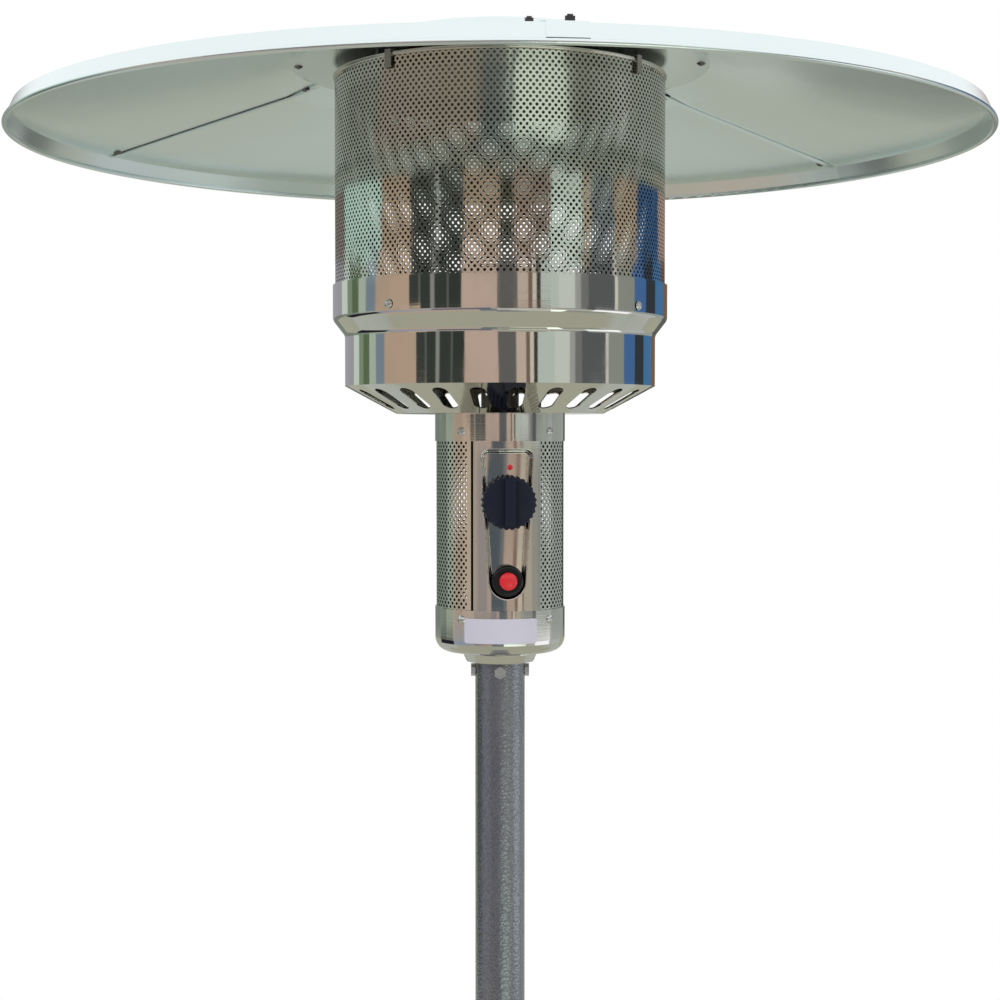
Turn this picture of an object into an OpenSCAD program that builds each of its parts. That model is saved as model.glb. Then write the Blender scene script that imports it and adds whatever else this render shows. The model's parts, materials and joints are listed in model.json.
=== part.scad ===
// Propane patio heater: a round base with two wheels, a sliding cover over the gas cylinder's bay,
// a post, a control head with its burner inside a round emitter screen, and a three-panel reflector.
// Millimetres. The origin is on the ground, on the post's axis. +Z is up and the controls face -Y.

/* [Base] */
// Outer diameter of the round base
base_d = 460; // [440:5:500]
// Height of the base's flat top above the ground
base_h = 60; // [54:1:75]
// Sheet thickness of the base
base_t = 1.5; // [1:0.1:2.5]
// Width of the flat rim that rests on the ground
base_rim = 14; // [10:1:20]
// Bend radius at the base's top edge
base_bend = 8; // [5:1:9]
// Diameter of the raised ring that keeps the gas cylinder in its place
locating_ring_d = 262; // [240:2:280]
// Height of that ring
locating_ring_h = 4; // [2:0.5:6]

/* [Support legs] */
// Width of a leg's strip
leg_w = 28; // [22:1:36]
// Thickness of a leg's strip
leg_t = 3; // [2:0.5:4]
// Distance from the axis to a leg's inner face
leg_r = 170; // [166:1:180]
// Length of the foot that is bolted to the base
foot_len = 30; // [26:1:34]
// Room between the legs' upper ends and the top of the cover's wall
leg_room = 41.3; // [36:0.1:60]
// Height of the stretch that leans in towards the post
leg_lean = 105; // [90:5:115]
// Length of the tab that is bolted to the post
tab_len = 64; // [56:1:70]
// Bend radius of a leg at its foot and its tab
leg_bend = 8; // [5:1:12]
// Diameter of the bolts of the base, legs and post
bolt_d = 6; // [5:1:6]

/* [Post] */
// Outer diameter of the post
post_d = 42.2; // [38:0.1:44]
// Wall of the post
post_t = 1.5; // [1:0.1:2]
// Height of the post's upper end above the ground
post_top = 1665; // [1500:5:1700]
// Outer diameter of the gas pipe inside the post
pipe_d = 10; // [8:0.5:12]

/* [Cylinder cover] */
// Outer diameter of the cover
cover_d = 436; // [430:1:440]
// Height of the cover's wall
cover_h = 690; // [680:5:720]
// Sheet thickness of the cover and its lid
cover_t = 0.8; // [0.6:0.1:1.2]
// Rise of the lid from its edge to its collar
lid_rise = 26; // [18:1:36]
// Depth of the lid's edge inside the cover
lid_skirt = 14; // [10:1:20]
// Number of vent slots round the cover
vent_count = 12; // [6:1:18]
// Height of a vent slot
vent_h = 46; // [30:1:60]
// Width of a vent slot
vent_w = 10; // [6:1:14]

/* [Wheels] */
// Diameter of a wheel
wheel_d = 64; // [50:1:68]
// Width of a wheel
wheel_w = 22; // [16:1:28]
// Distance between the wheels' inner faces
wheel_gap = 116; // [100:2:140]
// Height of the axle above the ground
axle_h = 38; // [36:1:42]
// Distance from the base's edge back to the axle
axle_back = 30; // [26:1:36]
// Diameter of the axle
axle_d = 8; // [6:0.5:10]

/* [Control head] */
// Outer diameter of the perforated housing
housing_d = 108; // [104:1:116]
// Sheet thickness of the housing and its panel
housing_t = 1; // [0.8:0.1:1.2]
// Visible height of the housing between its cup and its collar
housing_h = 140; // [134:1:150]
// Height of the polished cup under the housing
cup_h = 38; // [34:1:44]
// Corner radius of the cup's bottom
cup_bend = 12; // [8:1:15]
// Height of the collar above the housing
collar_h = 23; // [20:1:28]
// How far the housing goes into its cup and its collar
overlap = 16; // [12:1:20]
// Height of the boss between the post and the cup
boss_h = 9; // [7:1:14]
// Upper diameter of the boss
boss_d = 63.4; // [58:0.1:70]
// Lower diameter of the boss
boss_low_d = 57.4; // [52:0.1:64]
// Length of the boss's spigot inside the post
spigot_len = 45; // [35:1:60]
// Number of holes in a row round the housing
housing_columns = 14; // [10:1:16]
// Number of rows of holes in the housing
housing_rows = 9; // [6:1:11]

/* [Controls] */
// Width of the control panel
panel_w = 56; // [50:1:60]
// Width of the panel's recess at its top
recess_w = 38; // [34:1:42]
// Radius of the recess's round lower end
recess_r = 15.5; // [15:0.5:17]
// Depth of the recess's floor behind the housing's front
recess_depth = 6; // [5:0.5:8]
// Height of the knob's centre above the lower end of the visible housing
knob_up = 90; // [86:1:96]
// Diameter of the knob
knob_d = 45; // [36:1:47]
// How far the knob's face stands in front of its seat
knob_len = 18; // [14:1:22]
// Number of flutes round the knob
knob_flutes = 28; // [18:1:32]
// Travel of the knob when it is pushed in
knob_push = 3; // [2:0.5:3]
// Height of the igniter's centre above the lower end of the visible housing
igniter_up = 25; // [23:1:30]
// Diameter of the igniter's bezel
bezel_d = 26.5; // [24:0.5:27]
// Diameter of the igniter's button
button_d = 14.5; // [12:0.5:16]
// Travel of the igniter's button
button_push = 5; // [3:0.5:5]

/* [Burner pan] */
// Outer diameter of the pan's drum
drum_d = 262; // [250:2:270]
// Height of the pan's drum
drum_h = 42.5; // [36:0.5:50]
// Height of the slotted cone under the drum
cone_h = 23; // [18:1:30]
// Diameter of the cone's flat bottom
cone_low_d = 176; // [160:2:186]
// Sheet thickness of the pan and the band
pan_t = 1; // [0.8:0.1:1.2]
// Number of air slots round the cone
slot_count = 24; // [18:1:26]
// Length of an air slot along the slope
slot_len = 34; // [26:1:36]
// Width of an air slot
slot_w = 13; // [10:0.5:14]
// Height of the bevel under the screen's band
bevel_h = 13; // [10:1:16]
// Height of the smooth band round the screen's foot
band_h = 29; // [24:1:34]

/* [Emitter screen] */
// Outer diameter of the perforated screen
screen_d = 278; // [270:1:286]
// Sheet thickness of the screen
screen_t = 0.8; // [0.6:0.1:1.2]
// Height of the screen above its band
screen_h = 175.5; // [160:0.5:190]
// Room between the screen and its band
band_gap = 1.7; // [0.5:0.1:2.5]
// Diameter of the rolled ring at the screen's top
bead_d = 4; // [3:0.5:5]
// Number of holes in a row round the screen
screen_columns = 30; // [20:1:36]
// Number of rows of holes in the screen
screen_rows = 11; // [8:1:13]
// Width of the sheets' diamond holes, flat to flat
hole_size = 12; // [8:0.5:13]
// Outer diameter of the burner's head
burner_d = 96; // [80:2:120]
// Height of the burner's head
burner_h = 44; // [36:1:60]

/* [Reflector] */
// Outer diameter of the reflector
reflector_d = 813; // [760:1:860]
// Sheet thickness of the reflector
reflector_t = 0.8; // [0.6:0.1:1.2]
// Height of the turned-down lip at the rim
lip_h = 15; // [10:1:20]
// How far the lip leans in over its height
lip_lean = 8; // [4:1:12]
// Diameter of the fold between the dish and its centre
fold_d = 412; // [400:2:420]
// Rise of the dish from its lip to the fold
dish_rise = 40; // [34:0.5:50]
// Diameter of the flat centre plate
plate_d = 346; // [336:2:356]
// Rise from the fold to the centre plate
plate_rise = 8; // [6:0.5:12]
// Lap of one panel over the next, in degrees
lap = 3; // [2:0.5:9]
// Upper diameter of the raised centre cap
cap_d = 224; // [200:2:240]
// Height of the centre cap
cap_h = 20; // [14:0.5:26]
// Gap between the emitter's top plate and the reflector
reflector_gap = 6.5; // [6:0.5:12]

/* [Hidden] */
$fn = 96;

// Clearances and small standard sizes
fit = 0.1;          // between sheets and tubes that are fastened to each other
running = 0.08;     // radial clearance of a shaft in its hole
slip = 0.4;         // clearance of the cover over what it slides past
seat = 0.3;         // gap between pieces of two bodies at rest
hole_gap = 0.2;     // radial clearance of a screw in its hole
screw_d = 4;        // sheet-metal screws
head_ratio = 0.9;   // a bolt head's radius over the bolt's diameter
head_h_ratio = 0.6; // a bolt head's height over the bolt's diameter
steps = 6;          // straight pieces in a bend of sheet metal

// Radii and heights that follow from the driving sizes
base_r = base_d / 2;
post_r = post_d / 2;
post_in = post_r - post_t;
cover_r = cover_d / 2;
cover_low = base_h + seat;
cover_top = cover_low + cover_h;
lid_top = cover_top + lid_rise;
housing_r = housing_d / 2;
cup_low = post_top + boss_h;
housing_low = cup_low + cup_h;
housing_high = housing_low + housing_h;
pan_low = housing_high + collar_h;
sleeve_r = housing_r + fit + housing_t;
drum_r = drum_d / 2;
drum_low = pan_low + cone_h;
drum_high = drum_low + drum_h;
screen_r = screen_d / 2;
band_in = screen_r + band_gap;
band_r = band_in + pan_t;
band_low = drum_high + bevel_h;
band_high = band_low + band_h;
screen_low = drum_high + bevel_h * (screen_r - drum_r) / (band_in - drum_r) + 0.3;
screen_high = band_high + screen_h;
reflector_r = reflector_d / 2;
centre_low = screen_high + reflector_gap;
fold_low = centre_low - plate_rise;
lip_high = fold_low - dish_rise;
rim_low = lip_high - lip_h;
seams = [-91.5, 28.5, 148.5];
leg_angles = [90, 210, 330];
knob_z = housing_low + knob_up;
igniter_z = housing_low + igniter_up;
recess_y = -(housing_r - recess_depth);
cut_y = -housing_d;  // cuts through the housing's front end here
tab_high = cover_top - leg_room;
tab_low = tab_high - tab_len;
post_low = tab_low - 12;
tab_bolts = [tab_low + 18, tab_high - 14];
foot_bolt_r = leg_r + leg_t + leg_bend + foot_len / 2;
axle_y = base_r + axle_back;
ear_x = wheel_gap / 2 - 6;
ear_t = 2.5;
bracket_t = 2;
bracket_half = asin((ear_x + 4) / base_r); // half the angle that the wheel bracket spans on the base
bracket_bolt = bracket_half - 5;           // angle of its bolts from the middle
bolt_turn = -6;     // the post's bolts sit this many degrees round from the panel's middle
head_bolt_z = post_top - 8;

// Sheet metal: a path of [radius, height] points, thickened to its left
function unit(v) = v / norm(v);
function left_of(v) = [-v[1], v[0]];
function edge_normal(p, i) = left_of(unit(p[i + 1] - p[i]));
function miter(p, i) =
    let (a = edge_normal(p, max(i - 1, 0)), b = edge_normal(p, min(i, len(p) - 2)))
    (a + b) / (1 + a * b);
function wrapped(angle) = angle - 360 * round(angle / 360);
function bend(a, b, c, r) =
    let (u = unit(a - b), v = unit(c - b), half = acos(u * v) / 2,
         centre = b + unit(u + v) * r / sin(half), reach = r / tan(half),
         from = b + u * reach - centre, to = b + v * reach - centre,
         start = atan2(from[1], from[0]), sweep = wrapped(atan2(to[1], to[0]) - start))
    [for (i = [0:steps]) centre + r * [cos(start + sweep * i / steps), sin(start + sweep * i / steps)]];
function bent(p, r) =
    [p[0], for (i = [1:len(p) - 2]) each bend(p[i - 1], p[i], p[i + 1], r), p[len(p) - 1]];
module sheet(path, t) {
    last = len(path) - 1;
    polygon(concat(path, [for (i = [last:-1:0]) path[i] + t * miter(path, i)]));
}
module spun(path, t, turn = 360) rotate_extrude(angle = turn) sheet(path, t);

// Placing helpers
module around(angle, r, z) rotate([0, 0, angle]) translate([r, 0, z]) children();
module outwards() rotate([0, 90, 0]) children();
module forwards() rotate([90, 0, 0]) children();
module ring(outer, inner, low, high) difference() {
    translate([0, 0, low]) cylinder(r = outer, h = high - low);
    translate([0, 0, low - 1]) cylinder(r = inner, h = high - low + 2);
}
module rod(r, low, high) translate([0, 0, low]) cylinder(r = r, h = high - low);
module wedge(half, reach, low, high)
    translate([0, 0, low]) linear_extrude(high - low)
        polygon([[0, 0], reach * [cos(half), -sin(half)], [reach / cos(half), 0],
            reach * [cos(half), sin(half)]]);

// Fasteners along +Z, with the head's underside at zero and the shank below it
module hex_bolt(d, len) {
    cylinder(r = d * head_ratio, h = d * head_h_ratio, $fn = 6);
    translate([0, 0, -len]) cylinder(d = d, h = len, $fn = 24);
}
module hex_nut(d) difference() {
    cylinder(r = d * head_ratio, h = d * 0.8, $fn = 6);
    translate([0, 0, -1]) cylinder(d = d + fit, h = d + 2, $fn = 24);
}
module pan_screw(d, len) {
    rotate_extrude($fn = 32) intersection() {
        translate([0, -d * 0.55]) circle(r = d * 1.1);
        square([d, d]);
    }
    translate([0, 0, -len]) cylinder(d = d, h = len, $fn = 24);
}
// Staggered diamond holes round a rolled sheet, none within the angle free of the front
module perforation(r, low, high, columns, rows, free = -1)
    for (row = [0:rows - 1], i = [0:columns - 1]) {
        a = (i + 0.5 * (row % 2)) * 360 / columns;
        if (min(a, 360 - a) > free)
            around(a - 90, r, low + (high - low) * row / (rows - 1)) rotate([45, 0, 0])
                cube([6, hole_size, hole_size], center = true);
    }
module hole(d, low, high) translate([0, 0, low]) cylinder(r = d / 2 + hole_gap, h = high - low, $fn = 24);

// Base: a pressed pan with a flat resting rim and a ring that locates the gas cylinder
ring_r = locating_ring_d / 2;
module base_plate() color("dimgray") difference() {
    union() {
        spun([[base_r - base_rim, 0], [base_r, 0], each bend([base_r, 0], [base_r, base_h],
            [0, base_h], base_bend), [0, base_h]], base_t);
        rotate_extrude() translate([ring_r, base_h - base_t / 2]) intersection() {
            circle(r = locating_ring_h + base_t / 2, $fn = 32);
            translate([-20, 0]) square(40);
        }
    }
    for (a = leg_angles) around(a, foot_bolt_r, base_h) hole(bolt_d, -10, 10);
    for (s = [-1, 1]) around(90 + s * bracket_bolt, base_r, axle_h) outwards() hole(bolt_d, -10, 10);
}

// Support legs: bent strips between the base and the post
function leg_path() = bent([[leg_r + leg_t + leg_bend + foot_len, base_h], [leg_r, base_h],
    [leg_r, tab_low - leg_lean], [post_r, tab_low], [post_r, tab_high]], leg_bend);
module support_leg(angle) color("dimgray") rotate([0, 0, angle]) difference() {
    translate([0, leg_w / 2, 0]) forwards() linear_extrude(leg_w) leg_profile();
    translate([foot_bolt_r, 0, base_h]) hole(bolt_d, -1, 20);
    for (z = tab_bolts) translate([post_r, 0, z]) outwards() hole(bolt_d, -1, 20);
}
module leg_profile() {
    p = leg_path();
    last = len(p) - 1;
    polygon(concat(p, [for (i = [last:-1:0]) p[i] - leg_t * miter(p, i)]));
}
module support_leg_1() support_leg(leg_angles[0]);
module support_leg_2() support_leg(leg_angles[1]);
module support_leg_3() support_leg(leg_angles[2]);
module leg_bolts() color("silver") for (a = leg_angles) {
    around(a, foot_bolt_r, base_h + leg_t) hex_bolt(bolt_d, leg_t + base_t + 8);
    around(a, foot_bolt_r, base_h - base_t) rotate([180, 0, 0]) hex_nut(bolt_d);
    for (z = tab_bolts) around(a, post_r + leg_t, z) outwards() hex_bolt(bolt_d, leg_t + post_t + 3);
}
nut_seat = sqrt(pow(base_r - base_t, 2) - pow(bolt_d * head_ratio, 2)); // a nut's corners meet the wall
module bracket_bolts() color("silver") for (s = [-1, 1]) {
    around(90 + s * bracket_bolt, base_r + bracket_t, axle_h) outwards()
        hex_bolt(bolt_d, bracket_t + base_t + 8);
    around(90 + s * bracket_bolt, nut_seat, axle_h) outwards() rotate([180, 0, 0]) hex_nut(bolt_d);
}

// Wheels: a bracket bolted to the back of the base, an axle and two wheels just off the ground
module wheel_bracket() color("dimgray") {
    difference() {
        intersection() {
            ring(base_r + bracket_t, base_r, axle_h - 16, axle_h + 10);
            rotate([0, 0, 90]) wedge(bracket_half, base_d, 0, base_h);
        }
        for (s = [-1, 1]) around(90 + s * bracket_bolt, base_r, axle_h) outwards() hole(bolt_d, -1, 10);
    }
    ear_from = sqrt(base_r * base_r - ear_x * ear_x);
    for (s = [-1, 1]) difference() {
        translate([s * ear_x, 0, axle_h]) outwards() linear_extrude(ear_t, center = true) difference() {
            union() {
                translate([-10, ear_from + 1]) square([26, axle_y - ear_from - 1]);
                translate([0, axle_y]) circle(r = 10);
            }
            translate([0, axle_y]) circle(r = axle_d / 2 + running, $fn = 48);
        }
        rod(base_r, 0, base_h);
    }
}
module wheel_axle() color("silver")
    translate([-axle_len() / 2, axle_y, axle_h]) outwards() cylinder(d = axle_d, h = axle_len());
function axle_len() = wheel_gap + 2 * wheel_w + 12;
module axle_caps() color("black") for (s = [-1, 1])
    translate([s * (wheel_gap / 2 + wheel_w + 1), axle_y, axle_h]) rotate([0, s * 90, 0]) difference() {
        rotate_extrude() {
            square([axle_d, 4]);
            intersection() {
                translate([0, 4 - axle_d * 0.6]) circle(r = axle_d * 1.17);
                translate([0, 4]) square(axle_d);
            }
        }
        translate([0, 0, -1]) cylinder(d = axle_d, h = 6);
    }
wheel_web_r = (wheel_d / 2 - 9 + axle_d) / 2 + 1.5;
module wheel(side) color("black")
    translate([side * (wheel_gap / 2 + wheel_w / 2), axle_y, axle_h]) outwards() difference() {
        rotate_extrude() difference() {
            union() {
                translate([0, 3 - wheel_w / 2]) square([wheel_d / 2, wheel_w - 6]);
                translate([0, -wheel_w / 2]) square([wheel_d / 2 - 3, wheel_w]);
                for (v = [-1, 1]) translate([wheel_d / 2 - 3, v * (wheel_w / 2 - 3)])
                    circle(r = 3, $fn = 32);
            }
            square([axle_d + 2 * running, 3 * wheel_w], center = true);
            for (v = [-1, 1]) translate([wheel_web_r, v * wheel_w / 2])
                square([wheel_d / 2 - 9 - axle_d, 8], center = true);
        }
        for (i = [0:4]) rotate([0, 0, i * 72]) translate([wheel_web_r, 0, -wheel_w])
            cylinder(r = 4, h = 2 * wheel_w, $fn = 32);
    }
module wheel_left() wheel(-1);
module wheel_right() wheel(1);

// Cover of the gas cylinder's bay: it slides up the post
grommet_r = post_r + 9;
module obround(w, len) {
    square([w, len - w], center = true);
    for (s = [-1, 1]) translate([0, s * (len - w) / 2]) circle(d = w, $fn = 32);
}
module tank_cover() color("dimgray") difference() {
    union() {
        ring(cover_r, cover_r - cover_t, cover_low, cover_top);
        rotate_extrude() translate([cover_r, cover_low + 3]) intersection() {
            circle(r = 3, $fn = 32);
            translate([-cover_t, -3]) square([6, 6]);
        }
        around(90, cover_r, cover_low + 6)
            translate([-0.2, -9, 0]) cube([cover_t + 0.2, 18, cover_h - 6]);
    }
    for (i = [0:vent_count - 1])
        around((i + 0.5) * 360 / vent_count, cover_r - 10, cover_low + 30 + vent_h / 2)
            rotate([90, 0, 90]) linear_extrude(20) obround(vent_w, vent_h);
    for (i = [0:5]) around(i * 60, cover_r, cover_top - lid_skirt / 2) outwards() hole(screw_d, -5, 5);
}
lid_r = cover_r - cover_t - fit;
lid_path = bent([[lid_r, cover_top - lid_skirt], [lid_r, cover_top], [grommet_r + 8, lid_top],
    [grommet_r, lid_top]], 6);
module cover_lid() color("dimgray") difference() {
    spun(lid_path, cover_t);
    for (i = [0:5]) around(i * 60, cover_r, cover_top - lid_skirt / 2) outwards() hole(screw_d, -9, 5);
}
module cover_grommet() color("black") rotate_extrude() {
    bore = post_r + slip;
    translate([bore, lid_top - cover_t - 5]) square([grommet_r - 0.05 - bore, 12 + cover_t]);
    translate([bore, lid_top]) square([grommet_r + 5 - bore, 3.5]);
    translate([bore, lid_top - cover_t - 3.5]) square([grommet_r + 4 - bore, 3.5]);
}
module cover_screws() color("silver") for (i = [0:5])
    around(i * 60, cover_r, cover_top - lid_skirt / 2) outwards() pan_screw(screw_d, 5);

// Post, with the gas pipe inside it
module post() color("dimgray") difference() {
    ring(post_r, post_in, post_low, post_top);
    for (a = leg_angles, z = tab_bolts) around(a, post_r, z) outwards() hole(bolt_d, -6, 6);
    for (i = [0:3]) around(bolt_turn - 90 + i * 90, post_r, head_bolt_z) outwards() hole(bolt_d, -6, 6);
}
pipe_r = pipe_d / 2;
pipe_low = post_low - 20;
valve_low = knob_z - 32;
module pipe_guide() color("black") difference() {
    union() {
        rod(post_in - 0.05, post_low, post_low + 14);
        rod(post_r, post_low - 3, post_low);
    }
    rod(pipe_r + 0.05, post_low - 4, post_low + 15);
}
module gas_pipe() color("goldenrod") ring(pipe_r, pipe_r - 1.2, pipe_low, valve_low + 10);
module gas_inlet_fitting() color("gold") difference() {
    union() {
        translate([0, 0, pipe_low - 2]) cylinder(r = 11, h = 12, $fn = 6);
        rod(8, pipe_low - 14, pipe_low - 2);
        translate([0, 0, pipe_low - 18]) cylinder(r1 = 5.5, r2 = 7.4, h = 4);
    }
    rod(pipe_r, pipe_low, pipe_low + 20);
    rod(3, pipe_low - 30, pipe_low + 1);
}

// Head socket: a boss that carries the housing, with a spigot bolted inside the post
spigot_r = post_in - 0.05;
module head_socket() color("silver") difference() {
    union() {
        translate([0, 0, post_top]) cylinder(d1 = boss_low_d, d2 = boss_d, h = boss_h - 2);
        rod(boss_d / 2, cup_low - 2, cup_low);
        rod(spigot_r, post_top - spigot_len, post_top);
        rod(15, cup_low, cup_low + 6);
    }
    rod(12, post_top - spigot_len - 1, cup_low + 7);
    for (i = [0:3]) around(bolt_turn - 90 + i * 90, post_r, head_bolt_z) outwards() hole(bolt_d, -12, 6);
}
module head_bolts() color("silver") for (i = [0:3])
    around(bolt_turn - 90 + i * 90, post_r, head_bolt_z) outwards() hex_bolt(bolt_d, post_t + 6);

// Housing: cup, shell, collar and control panel
module housing_cup() color("silver") difference() {
    spun([[15 + fit, cup_low],
        each bend([0, cup_low], [sleeve_r, cup_low], [sleeve_r, housing_low], cup_bend),
        [sleeve_r, housing_low]], housing_t);
    screw_holes(housing_low - overlap / 2);
}
module screw_holes(z) for (a = screw_angles) around(a, housing_r, z) outwards() hole(screw_d, -6, 6);
screw_angles = [-132, -48, 48, 132];
panel_angle = asin(panel_w / 2 / sleeve_r);
module housing_shell() color("lightgray") difference() {
    ring(housing_r, housing_r - housing_t, housing_low - overlap, housing_high + overlap);
    perforation(housing_r, housing_low + hole_size, housing_high - hole_size,
        housing_columns, housing_rows, 36);
    translate([-panel_w / 2 + 5, -housing_r - 5, housing_low - 1]) cube([panel_w - 10, 40, housing_h + 2]);
    screw_holes(housing_low - overlap / 2);
    screw_holes(housing_high + overlap / 2);
}
module housing_collar() color("silver") difference() {
    union() {
        ring(sleeve_r, housing_r + fit, housing_high, pan_low);
        ring(sleeve_r, ledge_in, pan_low - housing_t, pan_low);
    }
    screw_holes(housing_high + overlap / 2);
    for (a = [45:90:315]) around(a, pan_screw_r, pan_low) hole(screw_d, -5, 5);
}
module housing_screws() color("silver") for (a = screw_angles, z = [housing_low, housing_high])
    around(a, sleeve_r, z == housing_low ? z - overlap / 2 : z + overlap / 2) outwards()
        pan_screw(screw_d, 5);

// Recess outline: round lower end, two small round corners at the top and straight tangents between them
recess_top_r = 6;
recess_top = housing_high - 12;
function tangent(c1, r1, c2, r2, side) =
    let (d = c2 - c1, l = norm(d), a = atan2(d[1], d[0]) + side * acos((r1 - r2) / l))
    [c1 + r1 * [cos(a), sin(a)], c2 + r2 * [cos(a), sin(a)]];
module recess(m) {
    low = [0, igniter_z];
    high = [recess_w / 2 - recess_top_r, recess_top - recess_top_r];
    right = tangent(low, recess_r + m, high, recess_top_r + m, -1);
    polygon([right[0], right[1], high, high + [0, recess_top_r + m],
        [-high[0], high[1] + recess_top_r + m], [-high[0], high[1]],
        [-right[1][0], right[1][1]], [-right[0][0], right[0][1]], low]);
    translate(low) circle(r = recess_r + m, $fn = 64);
    for (s = [-1, 1]) translate([s * high[0], high[1]]) circle(r = recess_top_r + m, $fn = 32);
}
module recess_block(m, from, to) translate([0, from, 0]) forwards() linear_extrude(from - to) recess(m);
module control_panel() color("silver") difference() {
    union() {
        difference() {
            intersection() {
                ring(sleeve_r, housing_r + fit, housing_low + 0.2, housing_high - 0.2);
                rotate([0, 0, -90]) wedge(panel_angle, housing_d, housing_low, housing_high);
            }
            recess_block(housing_t - 0.01, 0, cut_y);
        }
        intersection() {
            recess_block(housing_t, recess_y + housing_t, cut_y);
            rod(sleeve_r, housing_low, housing_high);
        }
    }
    recess_block(0, recess_y, cut_y);
    translate([0, 0, knob_z]) forwards() cylinder(r = 6.5, h = 80, $fn = 48);
    translate([0, 0, igniter_z]) forwards() cylinder(r = igniter_r + 0.1, h = 80);
}

// Gas valve: its body, the plunger that opens the safety magnet, the stem and the knob
valve_front = recess_y + housing_t + 8;
valve_back = 12;
valve_half = [15, 20];
plunger_r = 3;
stem_r = 5;
stem_back = valve_front + 11;
knob_back = -sqrt(sleeve_r * sleeve_r - pow(recess_w / 2 - 4, 2)) - knob_push - 0.6;
knob_r = knob_d / 2;
module gas_valve() color("goldenrod") difference() {
    union() {
        translate([-valve_half[0], valve_front, knob_z - valve_half[1]])
            cube([2 * valve_half[0], valve_back - valve_front, 2 * valve_half[1]]);
        translate([0, valve_front, knob_z]) forwards() cylinder(r = 11, h = 8);
        rod(11, valve_low, knob_z - valve_half[1]);
        rod(outlet_r, knob_z + valve_half[1], outlet_high);
        translate([0, valve_back + 14, knob_z]) forwards() cylinder(r = 9, h = 14);
    }
    rod(pipe_r, valve_low - 1, valve_low + 10);
    rod(pipe_r - 2, valve_low, knob_z - 8);
    translate([0, stem_back + 20, knob_z]) forwards() cylinder(r = plunger_r + running, h = 60);
    translate([0, stem_back + knob_push + 0.5, knob_z]) forwards() cylinder(r = stem_r + running, h = 60);
}
module valve_plunger() color("silver")
    translate([0, stem_back + 13, knob_z]) forwards() cylinder(r = plunger_r, h = 12.5);
module valve_stem() color("silver") translate([0, stem_back, knob_z]) forwards() {
    cylinder(r = stem_r, h = stem_back - knob_back + 4);
    cylinder(r = stem_r - 1, h = stem_back - knob_back + 10);
}
module control_knob() color([0.09, 0.1, 0.14]) translate([0, knob_back, knob_z]) forwards() difference() {
    union() {
        rotate_extrude() {
            square([knob_r, knob_len - 7]);
            translate([0, knob_len - 7]) square([knob_r - 3, 3]);
            translate([knob_r - 3, knob_len - 7]) circle(r = 3, $fn = 32);
        }
        intersection() {
            cylinder(r = knob_r - 3, h = knob_len);
            translate([-4.5, -knob_r, 0]) cube([9, 2 * knob_r, knob_len]);
        }
    }
    for (i = [0:knob_flutes - 1]) rotate([0, 0, i * 360 / knob_flutes])
        translate([knob_r + 0.6, 0, -1]) cylinder(r = 2, h = knob_len, $fn = 24);
    translate([0, 0, -1]) cylinder(r = stem_r - 0.95, h = 11.05);
    translate([0, 0, -1]) cylinder(r = stem_r + 0.05, h = 5.05);
}

// Igniter: body behind the panel, bezel and push button
igniter_r = 9;
igniter_back = -pipe_r - 1.5;
igniter_front = 1;
bezel_r = bezel_d / 2;
button_r = button_d / 2;
plug_r = button_r - 0.7;
bezel_len = 9;
module igniter_body() color("black") difference() {
    translate([0, igniter_back, igniter_z]) forwards()
        cylinder(r = igniter_r, h = igniter_back - recess_y + igniter_front);
    translate([0, recess_y + 30, igniter_z]) forwards() cylinder(r = plug_r, h = 60);
}
module igniter_bezel() color("black") translate([0, recess_y, igniter_z]) forwards() difference() {
    rotate_extrude() {
        square([bezel_r, bezel_len - 3]);
        translate([0, bezel_len - 3]) square([bezel_r - 3, 3]);
        translate([bezel_r - 3, bezel_len - 3]) circle(r = 3, $fn = 32);
    }
    translate([0, 0, -1]) cylinder(r = igniter_r + 0.05, h = igniter_front + 1.05);
    cylinder(r = button_r + seat, h = 40);
}
module igniter_button() color("red") translate([0, recess_y, igniter_z]) forwards() {
    translate([0, 0, -18]) cylinder(r = plug_r - running, h = 18 + bezel_len);
    rotate_extrude() translate([0, bezel_len - 2]) {
        square([button_r, button_push + 1]);
        intersection() {
            translate([0, button_push + 1 - button_r * 1.5]) circle(r = sqrt(3.25) * button_r);
            translate([0, button_push + 1]) square([button_r, button_r]);
        }
    }
}
module tilt_switch() color("white") {
    translate([16, 10, housing_low - 4]) cube([22, 16, 26]);
    translate([14, 8, cup_low + housing_t]) cube([22, 14, 2]);
    translate([25, 15, cup_low + housing_t]) cube([4, 4, housing_low - 4 - cup_low - housing_t]);
}

// Small lines that rise from the housing through the pan and step out to the pilot bracket
line_y = [-8, -16, -24];
line_x = 30;
pilot_x = 62;
line_bend = 8;
step_z = pan_low + 20;
module elbow(x, z, r, turn) translate([x, 0, z]) rotate([90, 0, 0]) rotate([0, 0, turn])
    rotate_extrude(angle = 90) translate([line_bend, 0]) circle(r = r, $fn = 24);
module rising_line(y, r, from_x, from_z, to_z) translate([0, y, 0]) {
    translate([from_x, 0, from_z]) outwards() cylinder(r = r, h = line_x - line_bend - from_x, $fn = 24);
    elbow(line_x - line_bend, from_z + line_bend, r, -90);
    translate([line_x, 0, from_z + line_bend])
        cylinder(r = r, h = step_z - from_z - 2 * line_bend, $fn = 24);
    elbow(line_x + line_bend, step_z - line_bend, r, 90);
    translate([line_x + line_bend, 0, step_z]) outwards()
        cylinder(r = r, h = pilot_x - line_x - 2 * line_bend, $fn = 24);
    elbow(pilot_x - line_bend, step_z + line_bend, r, -90);
    translate([pilot_x, 0, step_z + line_bend]) cylinder(r = r, h = to_z - step_z - line_bend, $fn = 24);
}
module pilot_tube() color("goldenrod") rising_line(line_y[0], 2, valve_half[0], knob_z + 8, bracket_low);
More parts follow.
